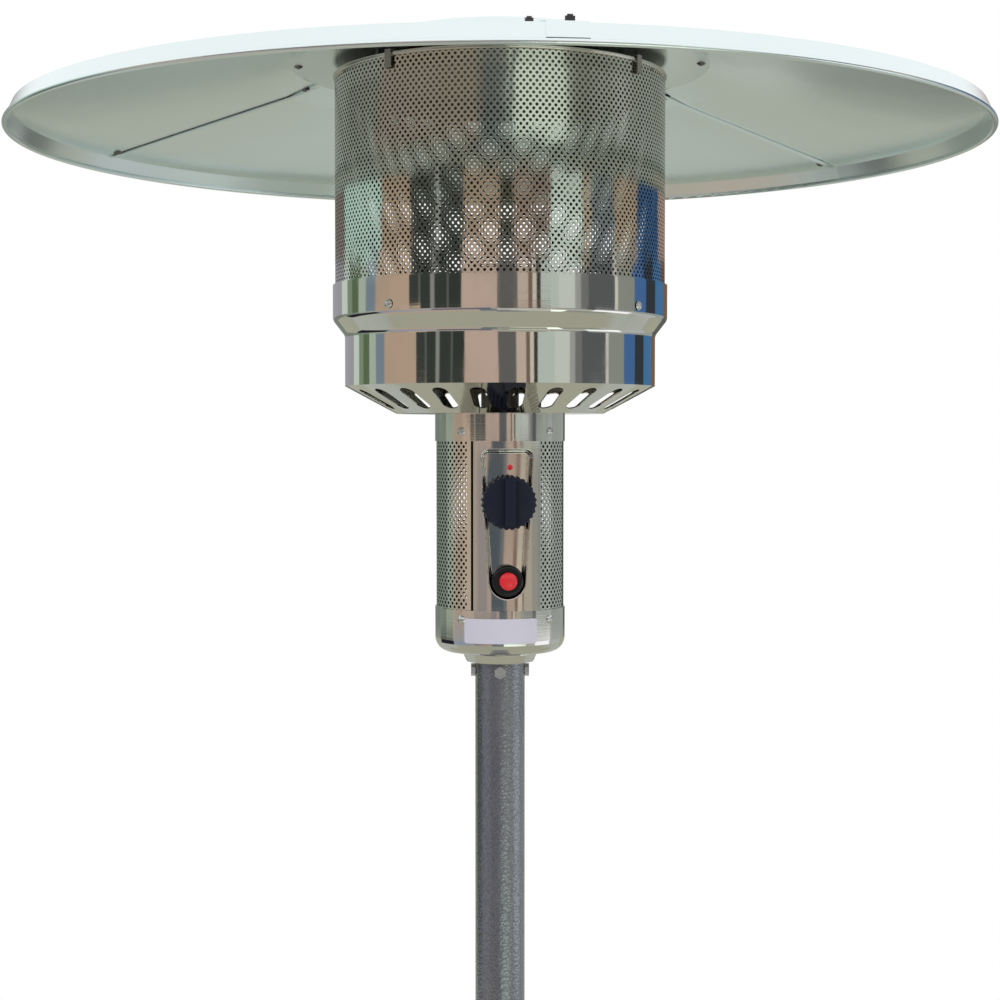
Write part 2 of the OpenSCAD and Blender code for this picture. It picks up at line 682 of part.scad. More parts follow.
module thermocouple() color("goldenrod") {
    rising_line(line_y[1], 1.5, valve_half[0], knob_z - 8, bracket_low);
    translate([pilot_x, line_y[1], bracket_low]) cylinder(r = 3, h = 24, $fn = 48);
    translate([pilot_x, line_y[1], bracket_low + 24]) sphere(r = 3, $fn = 32);
}
module igniter_lead() color("ivory") rising_line(line_y[2], 2, igniter_r, igniter_z, bracket_low - 4);
module spark_electrode() color("ivory") translate([pilot_x, line_y[2], 0]) {
    rod(3.5, bracket_low - 4, bracket_low + 20);
    rod(1, bracket_low + 20, bracket_low + 30);
    translate([0, 0, bracket_low + 30]) rotate([-60, 0, 0]) cylinder(r = 1, h = 8, $fn = 24);
}

// Burner pan: a flat bottom, a cone with air slots and a drum
cone_low_r = cone_low_d / 2;
slope = atan(cone_h / (drum_r - cone_low_r));
pan_screw_r = 47;
ledge_in = 42;
band_screw_z = band_low + 7;
module slots(count, mid_r, mid_z) for (i = [0:count - 1])
    around(-90 + i * 360 / count, mid_r, mid_z) rotate([0, -slope, 0]) translate([0, 0, -6])
        linear_extrude(12) rotate(90) obround(slot_w, slot_len);
module burner_pan() color("silver") difference() {
    spun([[22, pan_low], [cone_low_r, pan_low], [drum_r, drum_low], [drum_r, drum_high + 4]], pan_t);
    slots(slot_count, (cone_low_r + drum_r) / 2, (pan_low + drum_low) / 2);
    for (a = [45:90:315]) around(a, pan_screw_r, pan_low) hole(screw_d, -5, 5);
    translate([line_x - 5, line_y[2] - 5, pan_low - 1]) cube([10, line_y[0] - line_y[2] + 10, 5]);
}
module pan_screws() color("silver")
    for (a = [45:90:315]) around(a, pan_screw_r, pan_low + pan_t) pan_screw(screw_d, 5);

// Band round the screen's foot: a bevel and a wall, with a lapped seam at the front
band_path = [[drum_r + fit, drum_high - 3], [drum_r + fit, drum_high], [band_in, band_low],
    [band_in, band_high]];
strap_from = -97.5;
strap_turn = 17;
module screen_band() color("silver") difference() {
    union() {
        spun(band_path, -pan_t);
        rotate([0, 0, strap_from])
            spun([for (i = [0:2]) band_path[i] - 0.99 * pan_t * miter(band_path, i)],
                -0.6 * pan_t, strap_turn);
    }
    for (a = [-135:90:135]) around(a, band_r, band_screw_z) outwards() hole(screw_d, -5, 5);
}
module band_screws() color("silver")
    for (a = [-135:90:135]) around(a, band_r, band_screw_z) outwards()
        pan_screw(screw_d, band_r - screen_r + 4);

// Emitter: the perforated screen round the flame, closed by a plate on top
bead_r = bead_d / 2;
module emitter_screen() color("lightgray") difference() {
    union() {
        ring(screen_r, screen_r - screen_t, screen_low, screen_high - bead_r);
        rotate_extrude() translate([screen_r - screen_t / 2, screen_high - bead_r])
            circle(r = bead_r, $fn = 24);
    }
    perforation(screen_r, band_high + hole_size, screen_high - bead_d - hole_size,
        screen_columns, screen_rows);
    for (a = [-135:90:135]) around(a, band_r, band_screw_z) outwards() hole(screw_d, -8, 5);
}
module emitter_top_plate() color("silver") {
    edge = screen_r - screen_t / 2 - bead_r - fit;
    spun([[edge, screen_high - 14], [edge, screen_high], [0, screen_high]], 1);
}
module top_clips() color("silver") for (a = [-135:90:135]) rotate([0, 0, a]) {
    out = screen_r - screen_t / 2 + bead_r + fit;
    translate([out, -3, screen_high - 13]) cube([1.2, 6, 13 + fit + 1.2]);
    translate([out - 22, -3, screen_high + fit]) cube([22.1, 6, 1.2]);
}

// Burner: the mixing tube that stands on the valve's outlet, the head and the pilot's bracket
outlet_r = 9;
outlet_high = housing_high + overlap;
mixing_r = 16;
burner_low = band_low;
burner_r = burner_d / 2;
bracket_low = burner_low + 8;
module mixing_tube() color("silver") difference() {
    union() {
        ring(mixing_r, mixing_r - 1, outlet_high, burner_low + 6);
        rod(mixing_r, outlet_high, outlet_high + 2);
        ring(25.5, mixing_r - 0.5, pan_low + pan_t, pan_low + pan_t + 2);
    }
    rod(3, outlet_high - 1, outlet_high + 3);
    for (a = [45:90:315]) around(a, mixing_r - 5, pan_low + 22) outwards() cylinder(r = 7, h = 10);
}
module burner_head() color("silver") difference() {
    spun([[mixing_r + fit, burner_low], [burner_r, burner_low], [burner_r, burner_low + burner_h * 0.7],
        [burner_r * 0.7, burner_low + burner_h], [0, burner_low + burner_h]], pan_t);
    for (i = [0:35]) rotate([0, 0, i * 10]) translate([burner_r - 5, -1.5, burner_low + 12])
        cube([10, 3, burner_h * 0.7 - 18]);
}
module pilot_burner() color("silver") {
    difference() {
        translate([burner_r - 6, line_y[2] - 6, bracket_low])
            cube([pilot_x - burner_r + 12, line_y[0] - line_y[2] + 12, 2]);
        rod(burner_r + 0.01, bracket_low - 1, bracket_low + 3);
        translate([pilot_x, line_y[1], bracket_low - 1]) cylinder(r = 3.05, h = 4, $fn = 48);
        translate([pilot_x, line_y[2], bracket_low - 1]) cylinder(r = 3.55, h = 4, $fn = 48);
    }
    translate([pilot_x, line_y[0], bracket_low + 2]) difference() {
        cylinder(r = 4, h = 24, $fn = 48);
        translate([-10, -10, 17]) cube([20, 8, 4]);
    }
}

// Reflector: three lapped panels round a centre plate, and a cap over the nuts that hold it
hem_r = 2.2;
lap_gap = 0.05;
plate_r = plate_d / 2;
plate_high = centre_low + reflector_t;
inner_r = plate_r - 9;
panel_path = [[inner_r, plate_high], [plate_r + 3, plate_high], [fold_d / 2, fold_low],
    [reflector_r - lip_lean, lip_high], [reflector_r - hem_r, rim_low + hem_r]];
seam_screw_len = 6;
seam_radii = [plate_r + 14, reflector_r - lip_lean - 12];
hem_edge = panel_path[4] - (hem_r + fit) * unit(panel_path[4] - panel_path[3]);
lap_path = [for (i = [0:4])
    (i == 4 ? hem_edge : panel_path[i]) + (reflector_t + lap_gap) * miter(panel_path, i)];
module on_dish(angle, r) {
    i = r > fold_d / 2 ? 2 : 1;
    step = panel_path[i + 1] - panel_path[i];
    around(angle, r, panel_path[i][1] + step[1] * (r - panel_path[i][0]) / step[0])
        rotate([0, atan2(-step[1], step[0]), 0]) children();
}
module reflector_panel(seam) color("gainsboro") difference() {
    rotate([0, 0, seam]) {
        spun(panel_path, reflector_t, 120);
        rotate_extrude(angle = 120) translate(panel_path[4]) circle(r = hem_r, $fn = 24);
        rotate([0, 0, 119]) spun(lap_path, reflector_t, lap + 1);
    }
    for (s = [seam, seam + 120], r = seam_radii) on_dish(s + lap / 2, r) hole(screw_d, -8, 8);
    for (s = [seam + 30, seam + 75]) around(s, inner_r + 5, plate_high) hole(screw_d, -8, 8);
}
module reflector_panel_1() reflector_panel(seams[0]);
module reflector_panel_2() reflector_panel(seams[1]);
module reflector_panel_3() reflector_panel(seams[2]);
module reflector_plate() color("gainsboro") difference() {
    rod(plate_r, centre_low, plate_high);
    for (seam = seams, a = [30, 75]) around(seam + a, inner_r + 5, plate_high) hole(screw_d, -8, 8);
    for (a = stud_angles) around(a, stud_r, centre_low) hole(stud_d, -5, 5);
    for (a = stud_angles) around(a + 60, cap_flange_r - 4, centre_low) hole(screw_d, -5, 5);
}
stud_r = 80;
stud_d = 8;
stud_angles = [-90, 30, 150];
cap_t = 0.8;
cap_r = cap_d / 2;
cap_flange_r = cap_r + 14;
cap_top = plate_high + cap_h;
module reflector_cap() color("gainsboro") difference() {
    spun([[cap_flange_r, plate_high + cap_t],
        each bend([cap_flange_r, plate_high + cap_t], [cap_r + 5, plate_high + cap_t], [cap_r, cap_top], 2),
        each bend([cap_r + 5, plate_high], [cap_r, cap_top], [0, cap_top], 5), [0, cap_top]], cap_t);
    for (a = stud_angles) around(a + 60, cap_flange_r - 4, centre_low) hole(screw_d, -5, 5);
}
module cap_screws() color("silver")
    for (a = stud_angles) around(a + 60, cap_flange_r - 4, plate_high + cap_t) pan_screw(screw_d, 5);
module reflector_studs() color("silver") for (a = stud_angles) around(a, stud_r, 0) {
    rod(7, screen_high, centre_low);
    rod(stud_d / 2, centre_low, plate_high + 14);
}
module wing_nuts() color("silver") for (a = stud_angles) around(a, stud_r, plate_high) difference() {
    union() {
        cylinder(r = 8, h = 7);
        for (s = [0, 180]) rotate([0, 0, s]) translate([5, 1.25, 0]) forwards() linear_extrude(2.5) {
            translate([0, 2]) square([9, 7]);
            translate([9, 9]) circle(r = 4.5, $fn = 32);
        }
    }
    translate([0, 0, -1]) cylinder(r = stud_d / 2 + 0.05, h = 20);
}
module seam_screws() color("silver") {
    for (s = seams, r = seam_radii) on_dish(s + lap / 2, r) rotate([180, 0, 0])
        pan_screw(screw_d, seam_screw_len);
    for (s = seams, a = [30, 75]) around(s + a, inner_r + 5, centre_low) rotate([180, 0, 0])
        pan_screw(screw_d, seam_screw_len);
}
module seam_nuts() color("silver") {
    for (s = seams, r = seam_radii) on_dish(s + lap / 2, r)
        translate([0, 0, 2 * (reflector_t + lap_gap)]) hex_nut(screw_d);
    for (s = seams, a = [30, 75]) around(s + a, inner_r + 5, plate_high + reflector_t + lap_gap)
        hex_nut(screw_d);
}

base_plate();
support_leg_1();
support_leg_2();
support_leg_3();
leg_bolts();
wheel_bracket();
bracket_bolts();
wheel_axle();
axle_caps();
wheel_left();
wheel_right();
tank_cover();
cover_lid();
cover_grommet();
cover_screws();
post();
pipe_guide();
gas_pipe();
gas_inlet_fitting();
head_socket();
head_bolts();
housing_cup();
housing_shell();
control_panel();
housing_collar();
housing_screws();
gas_valve();
valve_plunger();
valve_stem();
control_knob();
igniter_body();
igniter_bezel();
igniter_button();
tilt_switch();
pilot_tube();
igniter_lead();
burner_pan();
pan_screws();
screen_band();
band_screws();
emitter_screen();
mixing_tube();
burner_head();
pilot_burner();
thermocouple();
spark_electrode();
emitter_top_plate();
top_clips();
reflector_panel_1();
reflector_panel_2();
reflector_panel_3();
reflector_plate();
reflector_cap();
cap_screws();
reflector_studs();
wing_nuts();
seam_screws();
seam_nuts();
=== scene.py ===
# %% [markdown]
# The object is a propane patio heater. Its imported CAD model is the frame: every piece of it is there
# at its real size, and this lesson dresses it. Pieces whose CAD solid is good enough get a finish.
# Polished sheet metal, the perforated sheets and the controls are modelled again, because a mirror
# shows every facet and a perforated sheet is all about its holes.
# %% Load the frame
import json
import math
import bmesh
import bpy
from mathutils import Matrix, Vector


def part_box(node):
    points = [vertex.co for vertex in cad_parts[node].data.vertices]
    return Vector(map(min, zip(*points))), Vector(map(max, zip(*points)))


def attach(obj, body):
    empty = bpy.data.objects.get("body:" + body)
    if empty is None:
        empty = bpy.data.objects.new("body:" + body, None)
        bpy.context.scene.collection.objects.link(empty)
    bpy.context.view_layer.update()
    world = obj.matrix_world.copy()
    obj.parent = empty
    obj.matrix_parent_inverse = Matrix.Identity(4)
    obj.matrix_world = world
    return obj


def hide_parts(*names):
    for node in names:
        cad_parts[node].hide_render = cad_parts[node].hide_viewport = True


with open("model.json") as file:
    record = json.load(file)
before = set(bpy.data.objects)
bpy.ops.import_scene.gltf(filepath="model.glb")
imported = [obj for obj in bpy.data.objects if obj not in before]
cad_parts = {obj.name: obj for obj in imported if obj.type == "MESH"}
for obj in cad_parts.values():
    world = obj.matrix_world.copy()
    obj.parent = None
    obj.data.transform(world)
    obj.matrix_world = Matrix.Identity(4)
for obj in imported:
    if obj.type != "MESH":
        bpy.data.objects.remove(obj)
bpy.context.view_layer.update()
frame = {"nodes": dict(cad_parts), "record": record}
nodes = frame["nodes"]

# %% [markdown]
# The camera comes first. It stands in front of the control head, a little to the left of the knob,
# and below the reflector, so that the reflector's underside shows. Its place, tilt and lens were
# fitted to the edges of the photograph.
# %% Camera
CAMERA_TURN = math.radians(-6.591)
CAMERA_TILT = math.radians(-2.107)
CAMERA_DISTANCE = 1.56365
CAMERA_HEIGHT = 1.85928
CAMERA_LENS_MM = 66.22
SENSOR_WIDTH_MM = 36
VIEW_DEPTH = 60
camera_data = bpy.data.cameras.new("camera")
camera_data.lens = CAMERA_LENS_MM
camera_data.sensor_width = SENSOR_WIDTH_MM
camera_data.clip_end = VIEW_DEPTH
camera = bpy.data.objects.new("camera", camera_data)
camera.location = (
    math.sin(CAMERA_TURN) * CAMERA_DISTANCE,
    -math.cos(CAMERA_TURN) * CAMERA_DISTANCE,
    CAMERA_HEIGHT,
)
camera.rotation_euler = (math.pi / 2 + CAMERA_TILT, 0, CAMERA_TURN)
bpy.context.scene.collection.objects.link(camera)
bpy.context.scene.camera = camera
bpy.context.scene.view_settings.view_transform = "Standard"
print("camera at", [round(v, 3) for v in camera.location])

# %% [markdown]
# Materials are node trees. A small class wraps a node's output, so that arithmetic in Python adds
# the Math nodes, and its method node adds any other node; the rest are short forms of it. Settings
# go in before the sockets, because some of them change which sockets a node has.
# %% Shader expressions


class Signal:
    """A node's output. Arithmetic on it adds Math nodes to the same tree."""

    def __init__(self, output):
        self.output = output

    def node(self, kind, settings=None, sockets=None, result=0):
        """Adds a node: its settings, then the values or links of its sockets."""
        made = self.output.id_data.nodes.new(kind)
        for name, value in (settings or {}).items():
            if name == "stops":
                set_stops(made.color_ramp.elements, value)
            elif name == "interpolation" and hasattr(made, "color_ramp"):
                made.color_ramp.interpolation = value
            else:
                setattr(made, name, value)
        for name, value in (sockets or {}).items():
            if isinstance(value, Signal):
                self.output.id_data.links.new(value.output, made.inputs[name])
            else:
                made.inputs[name].default_value = value
        return Signal(made.outputs[result])

    def maths(self, operation, *values):
        return self.node("ShaderNodeMath", {"operation": operation}, dict(enumerate(values)))

    def __add__(self, other):
        return self.maths("ADD", self, other)

    def __sub__(self, other):
        return self.maths("SUBTRACT", self, other)

    def __rsub__(self, other):
        return self.maths("SUBTRACT", other, self)

    def __mul__(self, other):
        return self.maths("MULTIPLY", self, other)

    __radd__ = __add__
    __rmul__ = __mul__

    def above(self, edge, width):
        """0 below edge, 1 above it, with a soft step of that width."""
        return self.node(
            "ShaderNodeMapRange",
            {"interpolation_type": "SMOOTHSTEP"},
            {"Value": self, "From Min": edge - width / 2, "From Max": edge + width / 2},
        )

    def between(self, low, high):
        """Turns 0 to 1 into low to high."""
        return self.node("ShaderNodeMapRange", None, {"Value": self, "To Min": low, "To Max": high})

    def scaled(self, x, y, z):
        return self.node(
            "ShaderNodeVectorMath", {"operation": "MULTIPLY"}, {0: self, 1: (x, y, z)}
        )

    def noise(self, scale, detail=3, roughness=0.5):
        return self.node(
            "ShaderNodeTexNoise",
            None,
            {"Vector": self, "Scale": scale, "Detail": detail, "Roughness": roughness},
        )

    def height(self):
        """The height of this place."""
        return self.node("ShaderNodeSeparateXYZ", None, {"Vector": self}, result=2)

    def from_axis(self):
        """The distance of this place from the upright axis."""
        flat = self.scaled(1, 1, 0)
        return flat.node("ShaderNodeVectorMath", {"operation": "LENGTH"}, {0: flat}, "Value")

    def colours(self, low, high):
        """A colour between two colours or signals, this value being the share of the second."""
        low, high = (c if isinstance(c, Signal) else (*c, 1) for c in (low, high))
        return self.node(
            "ShaderNodeMix", {"data_type": "RGBA"}, {"Factor": self, 6: low, 7: high}, result=2
        )


def set_stops(elements, stops):
    """Gives a colour ramp its stops, as (place, (red, green, blue)) pairs."""
    while len(elements) > 1:
        elements.remove(elements[-1])
    for i, (place, colour) in enumerate(stops):
        stop = elements[0] if i == 0 else elements.new(place)
        stop.position = place
        stop.color = (*colour, 1)


def finish(name, **constants):
    """A new material. Returns it, its shader node and its object coordinates."""
    material = bpy.data.materials.new(name)
    material.use_nodes = True
    shader = material.node_tree.nodes["Principled BSDF"]
    for socket, value in constants.items():
        shader.inputs[socket.replace("_", " ")].default_value = value
    coordinates = material.node_tree.nodes.new("ShaderNodeTexCoord")
    return material, shader, Signal(coordinates.outputs["Object"])


def feed(shader, **signals):
    """Links signals to the shader's sockets, whose names have a space for each underscore."""
    for socket, signal in signals.items():
        shader.id_data.links.new(signal.output, shader.inputs[socket.replace("_", " ")])


def bump(height, distance, strength=1.0):
    """Turns a height signal into a normal, for a relief of that depth in metres."""
    return height.node(
        "ShaderNodeBump", None, {"Height": height, "Distance": distance, "Strength": strength}
    )


print("shader expressions ready")

# %% [markdown]
# Polished stainless steel is almost a mirror. What tells it from glass is its warm grey colour,
# faint rolling lines round each ring, a slow waviness from pressing and a few wipe marks, all of
# which belong in roughness and bump.
# %% Polished steel
STEEL_CLEAN, STEEL_WIPED = (0.72, 0.695, 0.65), (0.66, 0.64, 0.6)


def polished_steel():
    material, shader, place = finish("polished_steel", Metallic=1.0, Specular_IOR_Level=0.5)
    rolling = place.scaled(2, 2, 260).noise(6, 2)
    smears = place.scaled(1, 1, 0.6).noise(14, 4, 0.6).above(0.56, 0.2)
    wave = place.noise(9, 1)
    feed(
        shader,
        Base_Color=smears.colours(STEEL_CLEAN, STEEL_WIPED),
        Roughness=rolling.between(0.03, 0.075) + smears * 0.05,
        Normal=bump(wave * 1.0 + rolling * 0.012, 0.0012, 0.55),
    )
    return material


STEEL = polished_steel()
print("made", STEEL.name)

# %% [markdown]
# The perforated sheet is the same steel with a duller face, because it is rolled after punching.
# The flame stains its upper part a dull straw brown, with a cloudy edge. Its inner side is dull and
# near black: soot on the screen, and painted shade for the dark inside of the screen and the
# housing, so the holes look dark. The distance from the axis tells the two sides apart: it is
# compared with the middle of the housing's sheet or, higher up, of the screen's. The holes are
# geometry.
# %% Perforated steel
HOUSING_MIDDLE_R, SCREEN_MIDDLE_R = 0.0536, 0.1386
SCREEN_FOOT_LEVEL = 1.9
STAIN_LEVEL, STAIN_WIDTH = 2.1, 0.09
PUNCHED_CLEAN, PUNCHED_STAINED = (0.7, 0.69, 0.65), (0.54, 0.51, 0.45)
# Near-black inner colour: soot, and painted shade for the dark inside of both drums.
SOOT_AND_SHADE = (0.07, 0.065, 0.06)


def perforated_steel():
    material, shader, place = finish("perforated_steel", Metallic=1.0)
    grain = place.scaled(1, 1, 3).noise(220, 2)
    height, radius = place.height(), place.from_axis()
    cloud = place.noise(7, 3)
    stain = (height + cloud * 0.06).above(STAIN_LEVEL, STAIN_WIDTH)
    middle = height.above(SCREEN_FOOT_LEVEL, 0.01).between(HOUSING_MIDDLE_R, SCREEN_MIDDLE_R)
    # The inner side gets the near-black colour, painted shade for the dark inside, with soot.
    inside = radius.maths("LESS_THAN", radius, middle)
    feed(
        shader,
        Base_Color=inside.colours(stain.colours(PUNCHED_CLEAN, PUNCHED_STAINED), SOOT_AND_SHADE),
        Roughness=grain.between(0.06, 0.12) + stain * 0.05 + inside * 0.3,
        Normal=bump(place.noise(40, 2), 0.0006, 0.4),
    )
    return material


PERFORATED = perforated_steel()
print("made", PERFORATED.name)

# %% [markdown]
# The reflector is thin aluminium sheet with a satin mill finish: soft, wide reflections and faint
# lines from the rolling mill, with slow dents from handling.
# %% Satin reflector sheet
SATIN_PALE, SATIN_DARK = (0.8, 0.865, 0.86), (0.76, 0.82, 0.815)


def reflector_sheet():
    material, shader, place = finish("reflector_sheet", Metallic=1.0)
    mill = place.scaled(4, 90, 4).noise(12, 3)
    dents = place.noise(5, 2)
    feed(
        shader,
        Base_Color=dents.colours(SATIN_PALE, SATIN_DARK),
        Roughness=mill.between(0.2, 0.28),
        Normal=bump(dents + mill * 0.02, 0.004, 0.4),
    )
    return material


SHEET = reflector_sheet()
print("made", SHEET.name)

# %% [markdown]
# Hammertone paint dries into small round puddles with raised edges and holds fine metal flakes. A
# Voronoi pattern gives the puddles, and its distance to the cell's edge gives their rims.
# %% Hammertone paint
PUDDLES_A_METRE = 420.0
PAINT_PALE, PAINT_DARK = (0.3, 0.31, 0.33), (0.14, 0.145, 0.165)


def hammertone_paint():
    material, shader, place = finish(
        "hammertone_paint", Metallic=0.8, Coat_Roughness=0.1, Coat_IOR=1.5
    )
    puddle = place.node(
        "ShaderNodeTexVoronoi", {"feature": "F1"}, {"Vector": place, "Scale": PUDDLES_A_METRE}
    )
    large = place.noise(160, 3)
    flakes = place.noise(2600, 1)
    worn = place.noise(18, 4).above(0.62, 0.12)
    feed(
        shader,
        Base_Color=(puddle * 0.6 + flakes * 0.4).colours(PAINT_PALE, PAINT_DARK),
        Roughness=puddle.between(0.2, 0.32) + worn * 0.08,
        Coat_Weight=0.5 - worn * 0.2,
        Normal=bump(puddle * 1.0 + large * 0.8, 0.00035, 0.7),
    )
    return material


PAINT = hammertone_paint()
print("made", PAINT.name)

# %% [markdown]
# Small parts: zinc plating is pale and blotchy. Above the reflector's level every small metal part
# takes a darker colour, and the zinc of the reflector's screws there is much darker. Brass is turned,
# heat-proof steel is dull with a straw tint, plastics differ in grain. One function makes each family
# with its own numbers.
# %% Small metal finishes
REFLECTOR_LEVEL = 2.08


def plain_metal(name, light, dark, rough, grain_scale, relief, upper_colour=None):
    material, shader, place = finish(name, Metallic=1.0)
    blotch = place.noise(60, 3)
    grain = place.scaled(1, 1, 2).noise(grain_scale, 2)
    # Above the reflector's level a part takes its upper colour, or else its dark one.
    above_reflector = place.height().above(REFLECTOR_LEVEL, 0.02)
    feed(
        shader,
        Base_Color=above_reflector.colours(blotch.colours(light, dark), upper_colour or dark),
        Roughness=grain.between(rough - 0.06, rough + 0.08),
        Normal=bump(grain, relief, 0.5),
    )
    return material


def plastic(name, colour, rough, grain_scale, relief, coat=0.0, gloss=0.5):
    material, shader, place = finish(
        name, Metallic=0.0, Coat_Roughness=0.08, Specular_IOR_Level=gloss
    )
    grain = place.noise(grain_scale, 2)
    wear = place.noise(35, 4).above(0.6, 0.25)
    lighter = tuple(0.95 * c + 0.006 for c in colour)
    feed(
        shader,
        Base_Color=wear.colours(colour, lighter),
        Roughness=grain.between(rough - 0.05, rough + 0.08) + wear * 0.06,
        Coat_Weight=coat - wear * (0.3 * coat),
        Normal=bump(grain, relief, 0.5),
    )
    return material


METALS = {  # light, dark, roughness, grain scale, relief, burnt
    "zinc": ((0.74, 0.74, 0.74), (0.6, 0.6, 0.61), 0.28, 300, 0.0001, (0.16, 0.16, 0.155)),
    "valve_casting": ((0.5, 0.5, 0.49), (0.4, 0.4, 0.39), 0.5, 900, 0.0003),
    "brass": ((0.74, 0.56, 0.27), (0.6, 0.43, 0.2), 0.26, 700, 0.0001),
    "copper_tube": ((0.78, 0.46, 0.3), (0.6, 0.34, 0.22), 0.28, 500, 0.0001),
    "heat_steel": ((0.5, 0.48, 0.43), (0.34, 0.31, 0.27), 0.42, 500, 0.0002),
}
PLASTICS = {  # colour, roughness, grain scale, relief, coat, gloss
    "knob_plastic": ((0.008, 0.01, 0.022), 0.4, 1500, 0.00008, 0.0, 0.2),
    "black_plastic": ((0.006, 0.006, 0.007), 0.24, 1200, 0.00006, 0.0, 0.3),
    "wheel_plastic": ((0.022, 0.022, 0.023), 0.5, 900, 0.0002),
    "red_button": ((0.62, 0.006, 0.016), 0.3, 900, 0.00004, 0.3),
    "white_plastic": ((0.52, 0.51, 0.59), 0.4, 900, 0.0001),
    "lead_insulation": ((0.62, 0.57, 0.48), 0.55, 1400, 0.0001),
    "ceramic": ((0.78, 0.76, 0.7), 0.2, 500, 0.00005, 0.5),
}
FINISHES = {
    "polished_steel": STEEL,
    "perforated_steel": PERFORATED,
    "reflector_sheet": SHEET,
    "hammertone_paint": PAINT,
    **{name: plain_metal(name, *numbers) for name, numbers in METALS.items()},
    **{name: plastic(name, *numbers) for name, numbers in PLASTICS.items()},
}
print("small finishes", len(METALS) + len(PLASTICS))

# %% [markdown]
# Each CAD node takes the finish of its material slot in the record, so the slots that a user can
# repaint and the finishes seen here stay the same thing.
# %% Finish the CAD nodes
for part in frame["record"]["subparts"]:
    cad = nodes[part["node"]]
    cad.data.materials.clear()
    cad.data.materials.append(FINISHES[part["material_slot"]])

# %% [markdown]
# New pieces are made in bmesh and then become objects. The object stays at the origin and its place
# is in its mesh, as on the CAD nodes, so both turn and slide about the same joint axes. Smooth
# shading with an angle limit keeps pressed edges crisp.
# %% From bmesh to piece


def new_mesh(made, name):
    """Turns a finished bmesh into a mesh."""
    mesh = bpy.data.meshes.new(name)
    made.to_mesh(mesh)
    made.free()
    return mesh


def new_object(name, data):
    """Puts a mesh or a lamp into the scene."""
    thing = bpy.data.objects.new(name, data)
    bpy.context.scene.collection.objects.link(thing)
    return thing


def everything(made):
    return made.verts[:] + made.edges[:] + made.faces[:]


def verts_of(geometry):
    return [v for v in geometry if isinstance(v, bmesh.types.BMVert)]


def turn_about(made, axis, angle):
    turned = Matrix.Rotation(angle, 3, axis)
    bmesh.ops.rotate(made, cent=(0, 0, 0), matrix=turned, verts=made.verts)


def piece_from(made, name, slot, body="stand", stands_for=(), sharp=35.0):
    """Makes the bmesh a piece that rides on a body and stands for some CAD nodes."""
    mesh = new_mesh(made, name)
    mesh.materials.append(FINISHES[slot])
    mesh.shade_smooth()
    mesh.set_sharp_from_angle(angle=math.radians(sharp))
    piece = new_object(name, mesh)
    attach(piece, body)
    if stands_for:
        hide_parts(*stands_for)
    return piece


def faces_out(made):
    """Merges doubles and points all faces the same way, before a wall gets its thickness."""
    bmesh.ops.remove_doubles(made, verts=made.verts, dist=1e-5)
    bmesh.ops.recalc_face_normals(made, faces=made.faces)


def ring_sheet_out(made):
    """Turns the faces of an open round sheet away from the axis."""
    faces_out(made)
    face = max(made.faces, key=lambda f: f.calc_center_median().xy.length)
    if face.normal.xy.dot(face.calc_center_median().xy) < 0:
        bmesh.ops.reverse_faces(made, faces=made.faces)


print("piece helpers ready")

# %% [markdown]
# The emitter screen is a sheet with some ten thousand round holes in staggered rows, rolled into a
# drum. One hexagonal tile of sheet round one hole is enough: hexagons fit a staggered pattern
# without gaps.
# %% One tile round a hole
HOLE_PITCH = 0.00507
ROW_PITCH = 0.00303
HOLE_D = 0.0026
HOLE_SIDES = 8
HEXAGON_HALF_WIDTH = math.sqrt(3) / 2  # of a hexagon whose corners lie on a circle of radius 1


def hole_tile(pitch):
    """A flat hexagonal tile with a round hole, in the XY plane, for rows of that hole pitch."""
    tile = bmesh.new()
    bmesh.ops.create_circle(tile, segments=6, radius=1)
    size = (pitch / 2 / HEXAGON_HALF_WIDTH, ROW_PITCH / 1.5, 1)
    bmesh.ops.scale(tile, vec=size, verts=tile.verts)
    upright = [e for e in tile.edges if abs(e.verts[0].co.x - e.verts[1].co.x) < pitch / 10]
    bmesh.ops.subdivide_edges(tile, edges=upright, cuts=1)
    bmesh.ops.create_circle(tile, segments=HOLE_SIDES, radius=HOLE_D / 2)
    bmesh.ops.bridge_loops(tile, edges=tile.edges)
    return tile


sample = hole_tile(HOLE_PITCH)
print("tile", len(sample.verts), "vertices", len(sample.faces), "faces")
sample.free()

# %% [markdown]
# Two tiles, one half a pitch aside, are stacked into a column, bent to the drum's radius and spun
# round the axis as copies. Both ends are cut level. The drum is made in four sectors, so that no
# mesh grows too large, and each gets the sheet's thickness on its inner side.
# %% Perforated drum


def add_copy(made, geometry, shift):
    """Copies some of the bmesh and moves the copy."""
    copy = bmesh.ops.duplicate(made, geom=geometry)["geom"]
    bmesh.ops.translate(made, vec=shift, verts=verts_of(copy))


